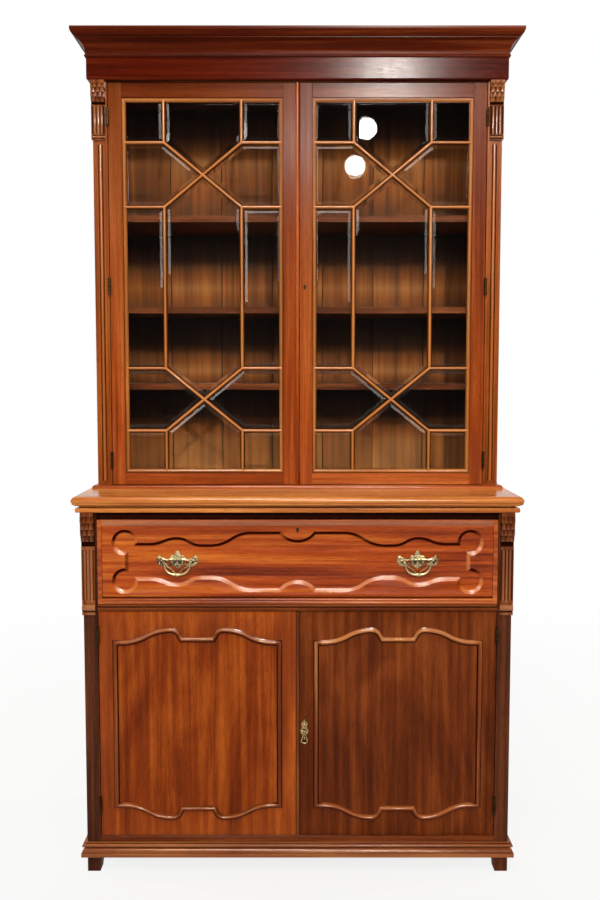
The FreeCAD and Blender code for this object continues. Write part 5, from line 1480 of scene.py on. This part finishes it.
@dataclass
class Fall:
    """The fall front of the secretaire drawer, with its coved sunk field.

    The field is the same above and below its middle, and right and left of it. From its end inwards it has
    a lobe, a shoulder, a crest, a cusp and a ridge, with a dip at the middle."""

    sunk: float = 5.5 * MM
    cove: float = 11 * MM
    steep: float = 0.15  # how much steeper than its mean the cove starts
    back_gap: float = 0.3 * MM
    key_drop: float = 26 * MM
    centre: float = 100.5 * MM  # of the field, above the board's lower edge
    lobe_inset: float = 61.5 * MM
    lobe_rise: float = 53 * MM
    lobe_radius: float = 36 * MM
    lobe_flat: float = 31 * MM
    crest_shift: float = 47.5 * MM
    crest_rise: float = 69 * MM
    cusp_shift: float = 20.5 * MM
    cusp_flat: float = 21 * MM
    cusp_rise: float = 49 * MM
    ridge_out: float = 126 * MM
    ridge_in: float = 45 * MM
    ridge_rise: float = 84 * MM
    dip_depth: float = 23 * MM

    def __post_init__(self) -> None:
        """Read the fall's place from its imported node."""
        self.low, self.high = corners_of("fall_panel")

    @staticmethod
    def s_curve(start: Corner, end: Corner) -> list[Corner]:
        """Join two points by two equal arcs that leave and arrive level.

        Args:
            start: The first point.
            end: The last point.

        Returns:
            The corner where the arcs meet, and the last.
        """
        run, rise = end[0] - start[0], end[1] - start[1]
        bend = (run * run + rise * rise) / rise / 4
        return [(start[0] + run / 2, start[1] + rise / 2, bend), (*end, -bend)]

    def outline(self) -> Array:
        """Draw the sunk field's outline, anticlockwise.

        Returns:
            Its points, in x and height.
        """
        lobe_x = self.lobe_inset - self.high[0]
        swell = (-lobe_x - self.lobe_radius + self.ridge_out) / 2
        shoulder = (lobe_x + self.lobe_radius + self.lobe_flat, self.lobe_rise)
        crest = (-swell - self.crest_shift, self.crest_rise)
        cusp = (-swell + self.cusp_shift, self.cusp_rise)
        cusp_end = (cusp[0] + self.cusp_flat, self.cusp_rise)
        ridge = (-self.ridge_out, self.ridge_rise)
        radius = self.lobe_radius
        quarter = [(lobe_x, self.lobe_rise - radius), (lobe_x - radius, self.lobe_rise, -radius),
                   (lobe_x, self.lobe_rise + radius, -radius), (lobe_x + radius, self.lobe_rise, -radius),
                   shoulder, *self.s_curve(shoulder, crest), *self.s_curve(crest, cusp), cusp_end,
                   *self.s_curve(cusp_end, ridge), (-self.ridge_in, self.ridge_rise)]
        dip = (self.ridge_in ** 2 + self.dip_depth ** 2) / self.dip_depth / 2
        other = turned_back(flipped(quarter, 0))
        other[0] = (*other[0][:2], dip)
        top = quarter + other
        corners = top + turned_back(flipped(top, 1))
        return trace(corners, pitch=2.5 * MM)[::-1] + np.array([0.0, self.low[2] + self.centre])

    def panel(self) -> None:
        """A board with a round lower edge, whose front is cut by the field: a cove runs down to its floor.

        The cove falls by a straight slope less a square term, so that it is steepest at the rim. It has
        painted shade where it faces down and a painted highlight where it faces up.
        """
        (x0, y0, z0), (x1, y1, z1) = self.low, self.high
        loop = self.outline()
        skin = Skin(91, single=True)
        share = np.linspace(0, 1, 11)
        section = joined(self.cove * share, -self.sunk * share * (1 + self.steep - self.steep * share))
        # Painted light on the cove: shade where it faces down and, less, where it faces right; a highlight
        # where it faces up and left.
        shade = np.minimum(1, (1 - share) * 3)
        shade[0] = 0.0
        inward = facing(loop)
        lean = np.clip(inward[:, 1] * 1.3 - inward[:, 0] * 0.6, -1, 0.7)
        skin.band(loop, section, y0, np.outer(shade, lean), Grain.ALONG_X, closed=False)
        skin.sheet([upright(inset(loop, self.cove), y0 + self.sunk)], Grain.ALONG_X)
        back, radius = y1 - self.back_gap, (y1 - y0) / 2
        front = np.array([(x0, z0 + radius), (x1, z0 + radius), (x1, z1), (x0, z1)])
        skin.sheet([upright(front, y0), upright(loop, y0)], Grain.ALONG_X)
        bend = np.linspace(math.pi, math.pi * 1.5, 9)
        edge = joined(y0 + radius + np.cos(bend) * radius, z0 + radius + np.sin(bend) * radius)
        y, z = np.concatenate([edge, [(back, z0), (back, z1), (y0, z1)]]).T
        skin.grid(joined(np.array([[x0], [x1]]), y, z), Grain.ALONG_X, caps=True)
        skin.piece("fall_board", FALL_WOOD, "fall", ("fall_panel",), weld=True)

    def build(self) -> None:
        """Make the board and its keyhole."""
        self.panel()
        Keyhole("fall_keyhole", "fall").build(0.0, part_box("fall_lock")[1].z - self.key_drop, self.low[1])


@dataclass
class PostCarving:
    """Carving planted on each post: a front worked out on a grid, and closed to the post behind it."""

    name: str
    node: str
    finish: Mahogany

    def surface(self, low: Array, high: Array) -> tuple[Array, Array]:
        """The front of the right-hand carving, between two corners: its points, and the tone of each."""
        raise NotImplementedError

    def build(self) -> None:
        """Close the carved front to the post, on the right and mirrored on the left."""
        low, high = right_half(self.node)
        points, tone = self.surface(low, high)
        padded = np.pad(points, ((1, 1), (1, 1), (0, 0)), mode="edge")
        padded[[0, -1], :, 1] = high[1]
        padded[:, [0, -1], 1] = high[1]
        shade = np.pad(tone, 1, mode="edge")
        skin = Skin(len(self.name))
        for sign in (1, -1):
            skin.grid(padded * (sign, 1, 1), Grain.ALONG_Z, shade, back=True)
        skin.piece(self.name, self.finish, "carcase", (self.node,), sharp=50.0)


@dataclass
class ReededBlock(PostCarving):
    """A block with upright reeds in a frame, over a small moulded cap."""

    cap: float
    stop: float  # the height of the frame above and below the reeds
    reeds: int = 3
    face: float = 6 * MM
    hollow: float = 4 * MM
    frame: float = 4.5 * MM
    edge: float = 0.5 * MM
    fillet: Corner = (0.26, 0.6)  # its shares of the cap's height and reach
    swell: Corner = (0.64, 0.33)  # middle and half height of the cap's round
    quirk: float = 0.25
    # The tone of painted shade, in the grooves and the cap's quirk, and the lowest tone.
    painted_shade: float = -0.95
    # The highest tone, a painted highlight.
    shine: float = 0.6
    fillet_tone: float = 0.1
    # Painted light on the cap's round, which grows lighter towards its top.
    cap_shade: float = 0.9
    # A painted highlight on a reed's top against painted shade in the groove beside it.
    contrast: float = 1.3  # of a reed's top with the groove beside it

    def surface(self, low: Array, high: Array) -> tuple[Array, Array]:
        """The front of the right-hand block.

        Inside its frame the face sinks by one less the root of a sine's size, which leaves round reeds.
        The cap below is a half round over a quirk and a fillet.

        Args:
            low: The block's lowest corner.
            high: Its highest corner.

        Returns:
            Points by row and column, and the tone of each: painted shade in the grooves and the quirk, and
            painted highlights on the reeds and the top of the cap's round.
        """
        wide, reach, tall = high - low
        edge, first, last = self.edge, self.cap + self.stop, tall - self.stop
        up = np.concatenate([np.linspace(0, self.cap, 24),
                             [self.cap + edge, first - edge, first, last, last + edge, tall]])[:, None]
        across = np.concatenate([[0.0], np.linspace(self.frame, wide - self.frame, 43), [wide]])
        share = (across - self.frame) / (wide - 2 * self.frame)
        reed = np.sqrt(np.abs(np.sin(math.pi * self.reeds * np.clip(share, 0, 1))))
        sunk = (share >= 0) & (share <= 1) & (up > first - edge / 2) & (up < last + edge / 2)
        part = up / self.cap
        (fillet, fillet_reach), (middle, half) = self.fillet, self.swell
        swell = np.sqrt(np.clip(1 - ((part - middle) / half) ** 2, 0, 1))
        cap = np.where(part < fillet, fillet_reach * reach, np.maximum(swell, self.quirk) * reach)
        cap_tone = np.where(swell > 0, swell + part - self.cap_shade, self.painted_shade)
        cap_tone = np.where(part < fillet, self.fillet_tone, cap_tone)
        body = np.where(part <= 1, cap, self.face - np.where(sunk, self.hollow * (1 - reed), 0.0))
        tone = np.where(part <= 1, cap_tone, np.where(sunk, self.contrast * reed + self.painted_shade, 0.0))
        points = joined(low[0] + across, high[1] - body, low[2] + up)
        return points, np.clip(tone, self.painted_shade, self.shine)


@dataclass
class Corbel(PostCarving):
    """A carved bracket on each post: rows of leaves on a scroll that swells from its foot."""

    foot: float
    block: float
    throat: float = 6 * MM  # the reach at the scroll's foot
    setback: float = 3 * MM  # of the plain foot and block
    lobes: int = 3
    tiers: int = 4
    leaf_depth: float = 2.6 * MM
    tip: float = 1.6 * MM  # how far a leaf's tip is proud of the row below
    least: float = 0.5 * MM
    # A painted highlight on a leaf's tip against painted shade at its root.
    contrast: float = 0.75  # of a leaf's tip with its root
    shade: float = 0.35
    rows: int = 90
    columns: int = 48

    def surface(self, low: Array, high: Array) -> tuple[Array, Array]:
        """The front of the right-hand bracket.

        It stands out by an arc from the throat at the foot to the full reach under the block. Rows of round
        leaves cover it, each row half a leaf aside from the next, with every tip proud of the row below.

        Args:
            low: The bracket's lowest corner.
            high: Its highest corner.

        Returns:
            Points by row and column, and the tone of each: painted highlights on the leaves' tips, painted
            shade at their roots and painted shadow on the foot.
        """
        wide, reach, tall = high - low
        up = np.linspace(0, 1, self.rows)[:, None] * tall
        across = np.linspace(-1, 1, self.columns)
        rise = np.clip((up - self.foot) / (tall - self.foot - self.block), 0, 1)
        body = self.throat + (reach - self.throat) * np.sqrt(1 - (1 - rise) ** 2)
        body = np.where(up < self.foot, self.throat - self.setback, body)
        body = np.where(up > tall - self.block, reach - self.setback, body)
        tier = np.floor(rise * self.tiers)
        part = rise * self.tiers - tier
        leaf = np.sqrt(np.abs(np.cos(math.pi / 2 * (across * self.lobes + tier + self.lobes + 1))))
        carved = (rise > 0) & (rise < 1)
        carving = np.where(carved, -self.leaf_depth * (1 - leaf) - self.tip * part, 0.0)
        depth = high[1] - np.maximum(body + carving, self.least)
        tone = carved * (self.contrast * leaf - self.contrast * part - self.shade)
        # Painted shadow on the plain foot, under the scroll.
        tone = np.where(up < self.foot, -1.0, tone)
        return joined((low[0] + high[0]) / 2 + across * wide / 2, depth, low[2] + up), tone


@dataclass
class PostReeds:
    """A round reed up the middle of each bookcase post, with a painted highlight on its top, between two
    grooves in painted shade.
    """

    node: str = "bookcase_posts"
    half: float = 5 * MM
    groove: float = 6.9 * MM
    crown: float = 2.4 * MM  # how far the reed's top is proud of the post
    lift: float = 0.1 * MM
    keel: float = 0.03
    painted_shade: float = -0.95
    # Painted shade at the reed's foot, and the painted highlight that its top adds.
    tones: Corner = (-0.85, 1.4)  # at the reed's foot, and what its top adds

    def build(self) -> None:
        """Carry a half ellipse between two flats up each post, from end to end of the grooves."""
        points = points_of(self.node)
        points = points[points[:, 0] > 0]
        front, floor = np.unique(points[:, 1].round(4))[:2]
        grooved = points[np.abs(points[:, 1] - floor) < self.lift]
        low, high = grooved.min(axis=0), grooved.max(axis=0)
        sweep = np.linspace(-1, 1, 21)
        rise = np.concatenate([[0.0], np.sqrt(1 - sweep ** 2), [0.0, -self.keel, -self.keel]])
        across = np.concatenate([[-self.groove], self.half * sweep, [self.groove, self.groove, -self.groove]])
        depth = floor - self.lift + rise * (front - self.crown - floor)
        tone = np.where(rise > 0, self.tones[1] * rise + self.tones[0], self.painted_shade)
        skin = Skin(23)
        for sign in (1, -1):
            x = sign * ((low[0] + high[0]) / 2 + across)
            skin.grid(joined(x, depth, np.array([[low[2]], [high[2]]])), Grain.ALONG_Z, tone, ring=True,
                      caps=True)
        skin.piece("bookcase_post_reeds", UPRIGHT_WOOD, "carcase")


@dataclass
class BailHandles:
    """The two drawer handles: a pierced plate with a crown, two posts and a swelling bail each."""

    # The right half of a plate about its middle, pointed below, with a wing turned down and a crown; the
    # leaves on it by x, height, half width, half height and lean; a post's lengths and radii. Millimetres.
    OUTLINE = [(0, -22), (8, -16, -10), (22, -8, -24), (32, -11, 9), (47, -11, 16), (54, -5, 8),
               (56, 6, 12), (53, 15, 8), (46, 16, 6), (38, 11, -9), (26, 7, -16), (20, 13, -7),
               (12, 16, 5), (8, 19, -6), (5, 26, 9), (0, 30, 5.5)]
    LEAVES = [(0, 22, 2.8, 6.5, 0), (6.5, 14, 2.2, 6.5, -38), (13, 9, 2.0, 7, -66), (0, 9, 3.8, 4.0, 0),
              (0, -4, 2.6, 6.0, 0), (6, -9, 2.0, 6.5, 42), (29, 4, 1.9, 6.5, 75), (33, -7, 1.8, 6.5, 84),
              (50, 10, 2.2, 5.0, -12), (49, -5, 2.2, 5.0, 25), (14, -2, 1.9, 6.5, -20),
              (44, 11, 1.9, 4.0, -64)]
    POST_LENGTHS = [0.0, 1.0, 2.2, 3.4, 5.5, 8.0, 9.2, 10.5, 11.5]
    POST_RADII = [4.6, 4.6, 2.9, 2.6, 3.2, 3.5, 3.2, 2.3, 0.9]

    thickness: float = 2.5 * MM
    rim: float = 1.1 * MM
    shoulder: float = 0.8 * MM
    eye: Corner = (24 * MM, 1 * MM, 6.5 * MM, 4.2 * MM)  # x, drop, half width and half height
    relief: float = 2.6 * MM
    bed: float = 0.3 * MM
    post_x: float = 43 * MM
    post_bed: float = 0.5 * MM
    post_mean: float = 3.8 * MM  # the radius of a middling tone
    bail: float = 35 * MM
    bow: float = 0.03  # as a share of the ring's radius
    bar: Corner = (2.3, 1.4)  # its radius at the ends and what the middle adds, in millimetres
    knop: Corner = (1.5, 0.09)  # what it adds, in millimetres, and its half width in radians
    cusp: Corner = (3 * MM, 7 * MM)  # inside the ring at its ends, and how far it dips
    cusp_span: Corner = (0.07, 1.2)  # its start and its length, in radians from the middle
    cusp_bar: Corner = (1.9, 0.5)  # its radius and what it loses, in millimetres
    pin: Corner = (1 * MM, 2 * MM, 2 * MM)  # inside the ring, short of the post, and its radius

    def __post_init__(self) -> None:
        """Read the handles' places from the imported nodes."""
        low, high = right_half("bail_right")
        self.x, self.y, _ = (low + high) / 2
        self.back = right_half("handle_plates")[1][1]
        self.face = self.back - self.thickness
        self.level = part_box("fall_panel")[0].z + Fall.centre

    def plate(self, skin: Skin, side: Side) -> None:
        """A bevelled plate with two pierced eyes and raised leaves.

        Args:
            skin: The surface that it joins.
            side: Which handle it is on.
        """
        middle = np.array([self.x * side.value, self.level])
        loop = symmetric(self.OUTLINE) + middle
        back, face = self.back, self.face
        rim = inset(loop, self.rim)
        angles = full_turn(28)
        eye_x, drop, wide, tall = self.eye
        eyes = [middle + joined(end * eye_x + np.cos(angles) * wide, np.sin(angles) * tall - drop)
                for end in (-1, 1)]
        rows = [upright(loop, back), upright(loop, face + self.shoulder), upright(rim, face)]
        skin.grid(np.stack(rows), Grain.ALONG_X, np.array([[-0.4], [-0.1], [0.4]]), ring=True)
        skin.sheet([upright(rim, face)] + [upright(eye, face) for eye in eyes], Grain.ALONG_X, -0.2)
        skin.sheet([upright(loop, back)] + [upright(eye, back) for eye in eyes], Grain.ALONG_X)
        for eye in eyes:
            skin.grid(np.stack([upright(eye, face), upright(eye, back)]), Grain.ALONG_X, -0.5, ring=True)
        for x, z, wide, tall, lean in self.LEAVES:
            for end in ((1,) if x == 0 else (1, -1)):
                skin.boss((middle[0] + x * end * MM, face + self.bed, middle[1] + z * MM),
                          (wide * MM, tall * MM), self.relief, lean * end)

    def posts(self, skin: Skin, side: Side) -> None:
        """Two turned posts: a round stem with a collar and a ball end, by its radius along its length.

        Args:
            skin: The surface that they join.
            side: Which handle it is on.
        """
        length = np.array(self.POST_LENGTHS)[:, None] * MM
        radius = np.array(self.POST_RADII)[:, None] * MM
        angles = full_turn(18)
        for end in (-1, 1):
            x = self.x * side.value + self.post_x * end + radius * np.cos(angles)
            surface = joined(x, self.face + self.post_bed - length, self.level + radius * np.sin(angles))
            skin.grid(surface, Grain.ALONG_X, (radius - self.post_mean) / MM * 0.2, ring=True, caps=True)

    def swing(self, side: Side) -> None:
        """One bail: half a ring that swells to its middle, with a knop and two curled cusps inside.

        The ring's radius varies with the cosine of four times the turn. Its bar thickens by the square of a
        sine, and by a bell curve at the knop. A cusp dips inside the ring by a sine along its length.

        Args:
            side: Which handle it is on.
        """
        skin = Skin(95)
        turn = np.linspace(0, math.pi, 65)
        middle = np.array([self.x * side.value, self.y, self.level])
        (ends, swell), (knop, half) = self.bar, self.knop
        ring = self.bail * (1 + self.bow * (1 - np.cos(4 * turn)))
        radius = ends + swell * np.sin(turn) ** 2 + knop * np.exp(-((turn - math.pi / 2) / half) ** 2)
        skin.tube(joined(np.cos(turn) * ring, 0.0, -np.sin(turn) * ring) + middle, radius * MM, tone=0.2)
        curl = np.linspace(0, 1, 21)
        (gap, dip), (start, span), (thick, loss) = self.cusp, self.cusp_span, self.cusp_bar
        inset_pin, short, pin_radius = self.pin
        reach = self.bail - gap - dip * np.sin(curl * math.pi)
        for end in (-1, 1):
            angle = math.pi / 2 + end * (start + span * curl)
            inner = joined(np.cos(angle) * reach, 0.0, -np.sin(angle) * reach) + middle
            skin.tube(inner, (thick - loss * curl) * MM, 10)
            pin = joined(end * np.array([self.bail - inset_pin, self.post_x - short]), 0.0, 0.0) + middle
            skin.tube(pin, pin_radius, 10)
        skin.piece(f"{side.word}_bail", OLD_BRASS, f"bail_{side.word}", (f"bail_{side.word}",), sharp=50.0)

    def build(self) -> None:
        """Make both plates as one piece, and a bail each."""
        skin = Skin(93)
        for side in (Side.RIGHT, Side.LEFT):
            self.plate(skin, side)
            self.posts(skin, side)
            self.swing(side)
        skin.piece("bail_plates", OLD_BRASS, "fall", ("handle_plates",), weld=True, sharp=40.0)


@dataclass
class DropHandle:
    """The pull on the right cupboard door: a leaf-shaped plate and a pear-shaped loop."""

    # The right half of the plate about its pin, and the leaves up its middle by height, half width and
    # half height. Millimetres.
    OUTLINE = [(0, -34), (4, -27, -8), (7, -20, 9), (5.5, -12, -9), (10, -4, 8), (11, 3, 8), (6.5, 11, -11),
               (8, 18, 7), (4, 27, 12), (0, 38, -22)]
    LEAVES = [(27, 2, 7), (16, 4.5, 4.5), (6, 3, 5), (-10, 3, 5), (-22, 3.5, 5)]

    thickness: float = 2 * MM
    rim: float = 0.9 * MM
    shoulder: float = 0.7 * MM
    relief: float = 2.2 * MM
    bed: float = 0.3 * MM
    eye: float = 3 * MM  # from the loop's top, and its front, to its pin
    ear: Corner = (5.5 * MM, 2.4 * MM, 3.4 * MM)  # x, half width and half height
    pin: Corner = (6 * MM, 1.5 * MM)  # half of its length, and its radius
    wide: float = 11 * MM
    foot: float = 2 * MM
    narrowing: float = 0.35  # the power of what is left to rise
    taper: Corner = (1.15, 0.9)  # at the foot, and what the rise takes
    bar: Corner = (1.8, 0.7)  # its radius at the stem and what the foot adds, in millimetres
    collar: Corner = (2.7 * MM, 2.9 * MM)  # half of its length, and its radius

    def __post_init__(self) -> None:
        """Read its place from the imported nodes."""
        self.low, self.high = corners_of("drop_handle_plate")
        self.loop_low, self.loop_high = corners_of("drop_handle")
        self.pivot = self.loop_high[2] - self.eye

    def plate(self) -> None:
        """A pointed leaf with a scalloped edge, a raised rib and ears for the loop's pin."""
        x, pivot = (self.low[0] + self.high[0]) / 2, self.pivot
        back, face = self.high[1], self.high[1] - self.thickness
        loop = symmetric(self.OUTLINE) + np.array([x, pivot])
        skin = Skin(97)
        rows = [upright(loop, back), upright(loop, face + self.shoulder),
                upright(inset(loop, self.rim), face)]
        skin.grid(np.stack(rows), Grain.ALONG_X, np.array([[-0.4], [0.0], [0.3]]), ring=True, caps=True)
        for z, wide, tall in self.LEAVES:
            skin.boss((x, face + self.bed, pivot + z * MM), (wide * MM, tall * MM), self.relief)
        for side in (-1, 1):
            skin.boss((x + side * self.ear[0], face + self.bed, pivot), self.ear[1:],
                      back - self.low[1] - self.eye)
        skin.bar((x, self.loop_low[1] + self.eye, pivot), *self.pin, 10)
        skin.piece("drop_plate", DROP_BRASS, "base_right_door", ("drop_handle_plate",), weld=True, sharp=40.0)

    def loop(self) -> None:
        """A pear loop: a closed tube that is thicker at its foot, round a ring that narrows to its stem.

        At a turn t the ring has risen by a share of one half plus half the cosine of t. Its width is the
        sine of t by a power of what is left to rise, and by a straight taper near the stem.
        """
        x, y, _ = (self.loop_low + self.loop_high) / 2
        turn = full_turn(56)
        rise = 0.5 + 0.5 * np.cos(turn)
        taper = np.minimum(1, self.taper[0] - rise * self.taper[1])
        path = joined(x + np.sin(turn) * self.wide * (1 - rise) ** self.narrowing * taper, y,
                      self.loop_low[2] - self.foot + rise * (self.pivot - self.loop_low[2]))
        skin = Skin(99)
        skin.tube(path, (self.bar[0] + self.bar[1] * (1 - rise)) * MM, 12, ring=True, tone=0.2)
        skin.bar((x, y, self.pivot), *self.collar, 14)
        skin.piece("drop_loop", DROP_BRASS, "drop_handle", ("drop_handle",), sharp=50.0)

    def build(self) -> None:
        """Make the plate and the loop."""
        self.plate()
        self.loop()


@dataclass
class PlainNodes:
    """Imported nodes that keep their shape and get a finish."""

    finishes: tuple[tuple[Finish, Grain, tuple[str, ...]], ...] = (
        (POST_WOOD, Grain.ALONG_Z, ("feet", "base_sides", "base_posts")),
        (UPRIGHT_WOOD, Grain.ALONG_Z, ("bookcase_sides", "bookcase_posts")),
        (SHADED_FRIEZE_WOOD, Grain.LEVEL, ("frieze_boards",)),
        (FRAME_WOOD, Grain.ALONG_Z, ("upper_meeting_bead",)),
        (FRAME_WOOD, Grain.ALONG_X, ("drawer_front_strips", "nest_drawer_left", "nest_drawer_right")),
        (TRIM_WOOD, Grain.ALONG_Z, ("base_meeting_bead",)),
        (BEAD_WOOD, Grain.ALONG_X, ("fall_top_bead",)),
        (SHELF_WOOD, Grain.ALONG_X, ("shelves", "bookcase_boards", "writing_bed", "pigeonhole_case")),
        (PALE_TIMBER, Grain.ALONG_X, ("base_boards",)),
        (PALE_TIMBER, Grain.ALONG_Y, ("drawer_runners", "shelf_bearers")),
        (PALE_TIMBER, Grain.ALONG_Z, ("base_back_boards",)),
        (PALE_TIMBER, Grain.LEVEL, ("drawer_box",)),
        (WRITING_LEATHER, Grain.LEVEL, ("writing_leather",)),
        (HINGE_BRASS, Grain.LEVEL, (
            "hinge_frame_leaves", "upper_left_hinge_leaves", "upper_right_hinge_leaves",
            "base_left_hinge_leaves", "base_right_hinge_leaves", "upper_door_lock", "fall_lock",
            "fall_pivots", "quadrant_stays")))

    def build(self) -> None:
        """Give each node its material through its own slots."""
        for finish, grain, nodes in self.finishes:
            for node in nodes:
                for slot in frame["nodes"][node].material_slots:
                    slot.material = finish.material(grain)
                log.info("%s keeps its shape, in %s", node, finish.name)


@dataclass(frozen=True)
class Lamp:
    """A round soft lamp that looks at a point."""

    name: str
    place: Corner
    size: float
    power: float
    aim: Corner = (0.0, 0.0, 1.2)
    colour: Corner = (1.0, 0.95, 0.88)

    def build(self) -> None:
        """Make the lamp and turn it to its aim."""
        data = bpy.data.lights.new(self.name, "AREA")
        data.shape = "DISK"
        data.size = self.size
        data.energy = self.power
        data.color = self.colour
        made = placed(self.name, data)
        made.location = self.place
        made.rotation_euler = (Vector(self.aim) - made.location).to_track_quat("-Z", "Y").to_euler()


@dataclass
class Studio:
    """A pale floor, a white background, soft lamps and the camera."""

    eye: Corner = (0.0, -2.848, 1.375)
    tilt: float = -4.3
    lens: float = 38.72
    shift: float = 2.5 / 900
    daylight: float = 0.03
    sky: Corner = (1.0, 0.98, 0.95, 1.0)
    floor_reach: float = 30.0
    lamps: tuple[Lamp, ...] = (
        Lamp("front", (0.9, -7.0, 4.3), 0.3, 310.0),
        Lamp("key", (-0.8, -5.3, 9.3), 2.0, 500.0),
        Lamp("sky", (0.0, -6.6, 6.8), 2.4, 110.0),
        Lamp("left_fill", (-3.6, -6.8, 3.4), 2.5, 110.0),
        Lamp("right_fill", (3.6, -6.8, 3.4), 2.5, 75.0),
        Lamp("left_side", (-6.5, 1.5, 3.4), 1.2, 220.0),
        Lamp("right_side", (6.5, 1.5, 3.4), 1.2, 220.0),
        Lamp("back", (0.0, 7.0, 4.2), 1.5, 220.0),
        Lamp("middle_spot", (-0.05, -3.4, 2.83), 0.14, 8.0, (0.0, 0.0, 2.0)),
        Lamp("upper_spot", (0.43, -3.4, 2.92), 0.13, 3.0, (0.2, 0.0, 2.0)),
        Lamp("lower_spot", (0.36, -3.4, 2.69), 0.13, 3.0, (0.2, 0.0, 2.0)))

    @staticmethod
    def seen(tree: Tree, where: Socket) -> Socket:
        """Say how far a ray shows the white background.

        It is one for the camera, straight or through glass, and for a mirror that looks behind the object.
        It is zero in front, where a studio is dark, and for light that has met a matt surface on its way.

        Args:
            tree: The node tree of the world or the floor.
            where: The ray's direction, or the point on the floor.

        Returns:
            The share, from zero to one.
        """
        path = tree.nodes.new("ShaderNodeLightPath").outputs
        behind = tree.node("ShaderNodeSeparateXYZ", Vector=where).outputs["Y"]
        clear = tree.math("MAXIMUM", path["Is Camera Ray"], path["Is Transmission Ray"], clamp=True)
        clear = tree.math("SUBTRACT", clear, path["Glossy Depth"], clamp=True)
        mirror = tree.math("MAXIMUM", path["Is Glossy Ray"], path["Glossy Depth"], clamp=True)
        mirror = tree.math("MULTIPLY", mirror, behind, clamp=True)
        total = tree.math("MAXIMUM", clear, mirror, clamp=True)
        return tree.math("SUBTRACT", total, path["Diffuse Depth"], clamp=True)

    def world(self) -> None:
        """White to the camera, to mirrors and through glass, and plain daylight to everything else."""
        world = bpy.data.worlds.new("studio")
        bpy.context.scene.world = world
        tree = Tree(world, "World")
        white = tree.node("ShaderNodeBackground", Color=WHITE)
        soft = tree.node("ShaderNodeBackground", Color=self.sky, Strength=self.daylight)
        direction = tree.nodes.new("ShaderNodeTexCoord").outputs["Generated"]
        tree.finish(tree.blend(self.seen(tree, direction), soft, white))

    def floor(self) -> None:
        """A wide pale floor that keeps a faint shadow and is otherwise as white as the background."""
        tree = Tree(bpy.data.materials.new("floor_white"))
        where = tree.place(Grain.LEVEL)
        patch = tree.noise(where, (0.8,) * 3, 2.0)
        colour = tree.ramp(patch, [(0.0, (0.5, 0.5, 0.5, 1.0)), (1.0, (0.56, 0.56, 0.56, 1.0))])
        matt = tree.node("ShaderNodeBsdfDiffuse", Color=colour)
        glow = tree.node("ShaderNodeEmission", Color=WHITE, Strength=1.0)
        away = tree.node("ShaderNodeVectorMath", Vector=where)
        away.operation = "LENGTH"
        far = tree.math("MULTIPLY_ADD", away.outputs["Value"], 0.06, 0.8, clamp=True)
        share = tree.math("MULTIPLY", self.seen(tree, where), far)
        mesh = bpy.data.meshes.new("floor")
        corners = self.floor_reach * np.array([(-1, -1, 0), (1, -1, 0), (1, 1, 0), (-1, 1, 0)])
        mesh.from_pydata(corners.tolist(), [], [(0, 1, 2, 3)])
        mesh.materials.append(tree.finish(tree.blend(share, matt, glow)))
        placed("floor", mesh)

    def camera(self) -> None:
        """The camera at the photograph's place."""
        data = bpy.data.cameras.new("camera")
        data.lens = self.lens
        data.shift_x = self.shift
        made = placed("camera", data)
        made.location = self.eye
        made.rotation_euler = (math.radians(90 + self.tilt), 0.0, 0.0)
        bpy.context.scene.camera = made

    def build(self) -> None:
        """Set the stage."""
        bpy.context.scene.view_settings.view_transform = "Standard"
        self.world()
        self.floor()
        for lamp in self.lamps:
            lamp.build()
        self.camera()


def main() -> None:
    """Build every sub-assembly in order."""
    logging.basicConfig(level=logging.INFO, format="%(name)s: %(message)s")
    Studio().build()
    PlainNodes().build()
    BaseRails().build()
    BackBoards().build()
    CaseMouldings().build()
    for side in Side:
        GlazedDoor(side).build()
    CupboardDoor(Side.LEFT, LEFT_WOOD, rim=0.2).build()
    CupboardDoor(Side.RIGHT, RIGHT_WOOD, rim=-0.3).build()
    Fall().build()
    ReededBlock("base_reeded_blocks", "base_pilaster_trim", TRIM_WOOD, cap=31 * MM, stop=10 * MM).build()
    ReededBlock("bookcase_reeded_blocks", "bookcase_pilaster_trim", TRIM_WOOD,
                cap=13 * MM, stop=4 * MM).build()
    PostReeds().build()
    Corbel("base_carved_corbels", "base_corbels", TRIM_WOOD, foot=13 * MM, block=10 * MM).build()
    Corbel("bookcase_carved_corbels", "bookcase_corbels", TRIM_WOOD, foot=8 * MM, block=8 * MM).build()
    BailHandles().build()
    DropHandle().build()


if __name__ == "__main__":
    main()
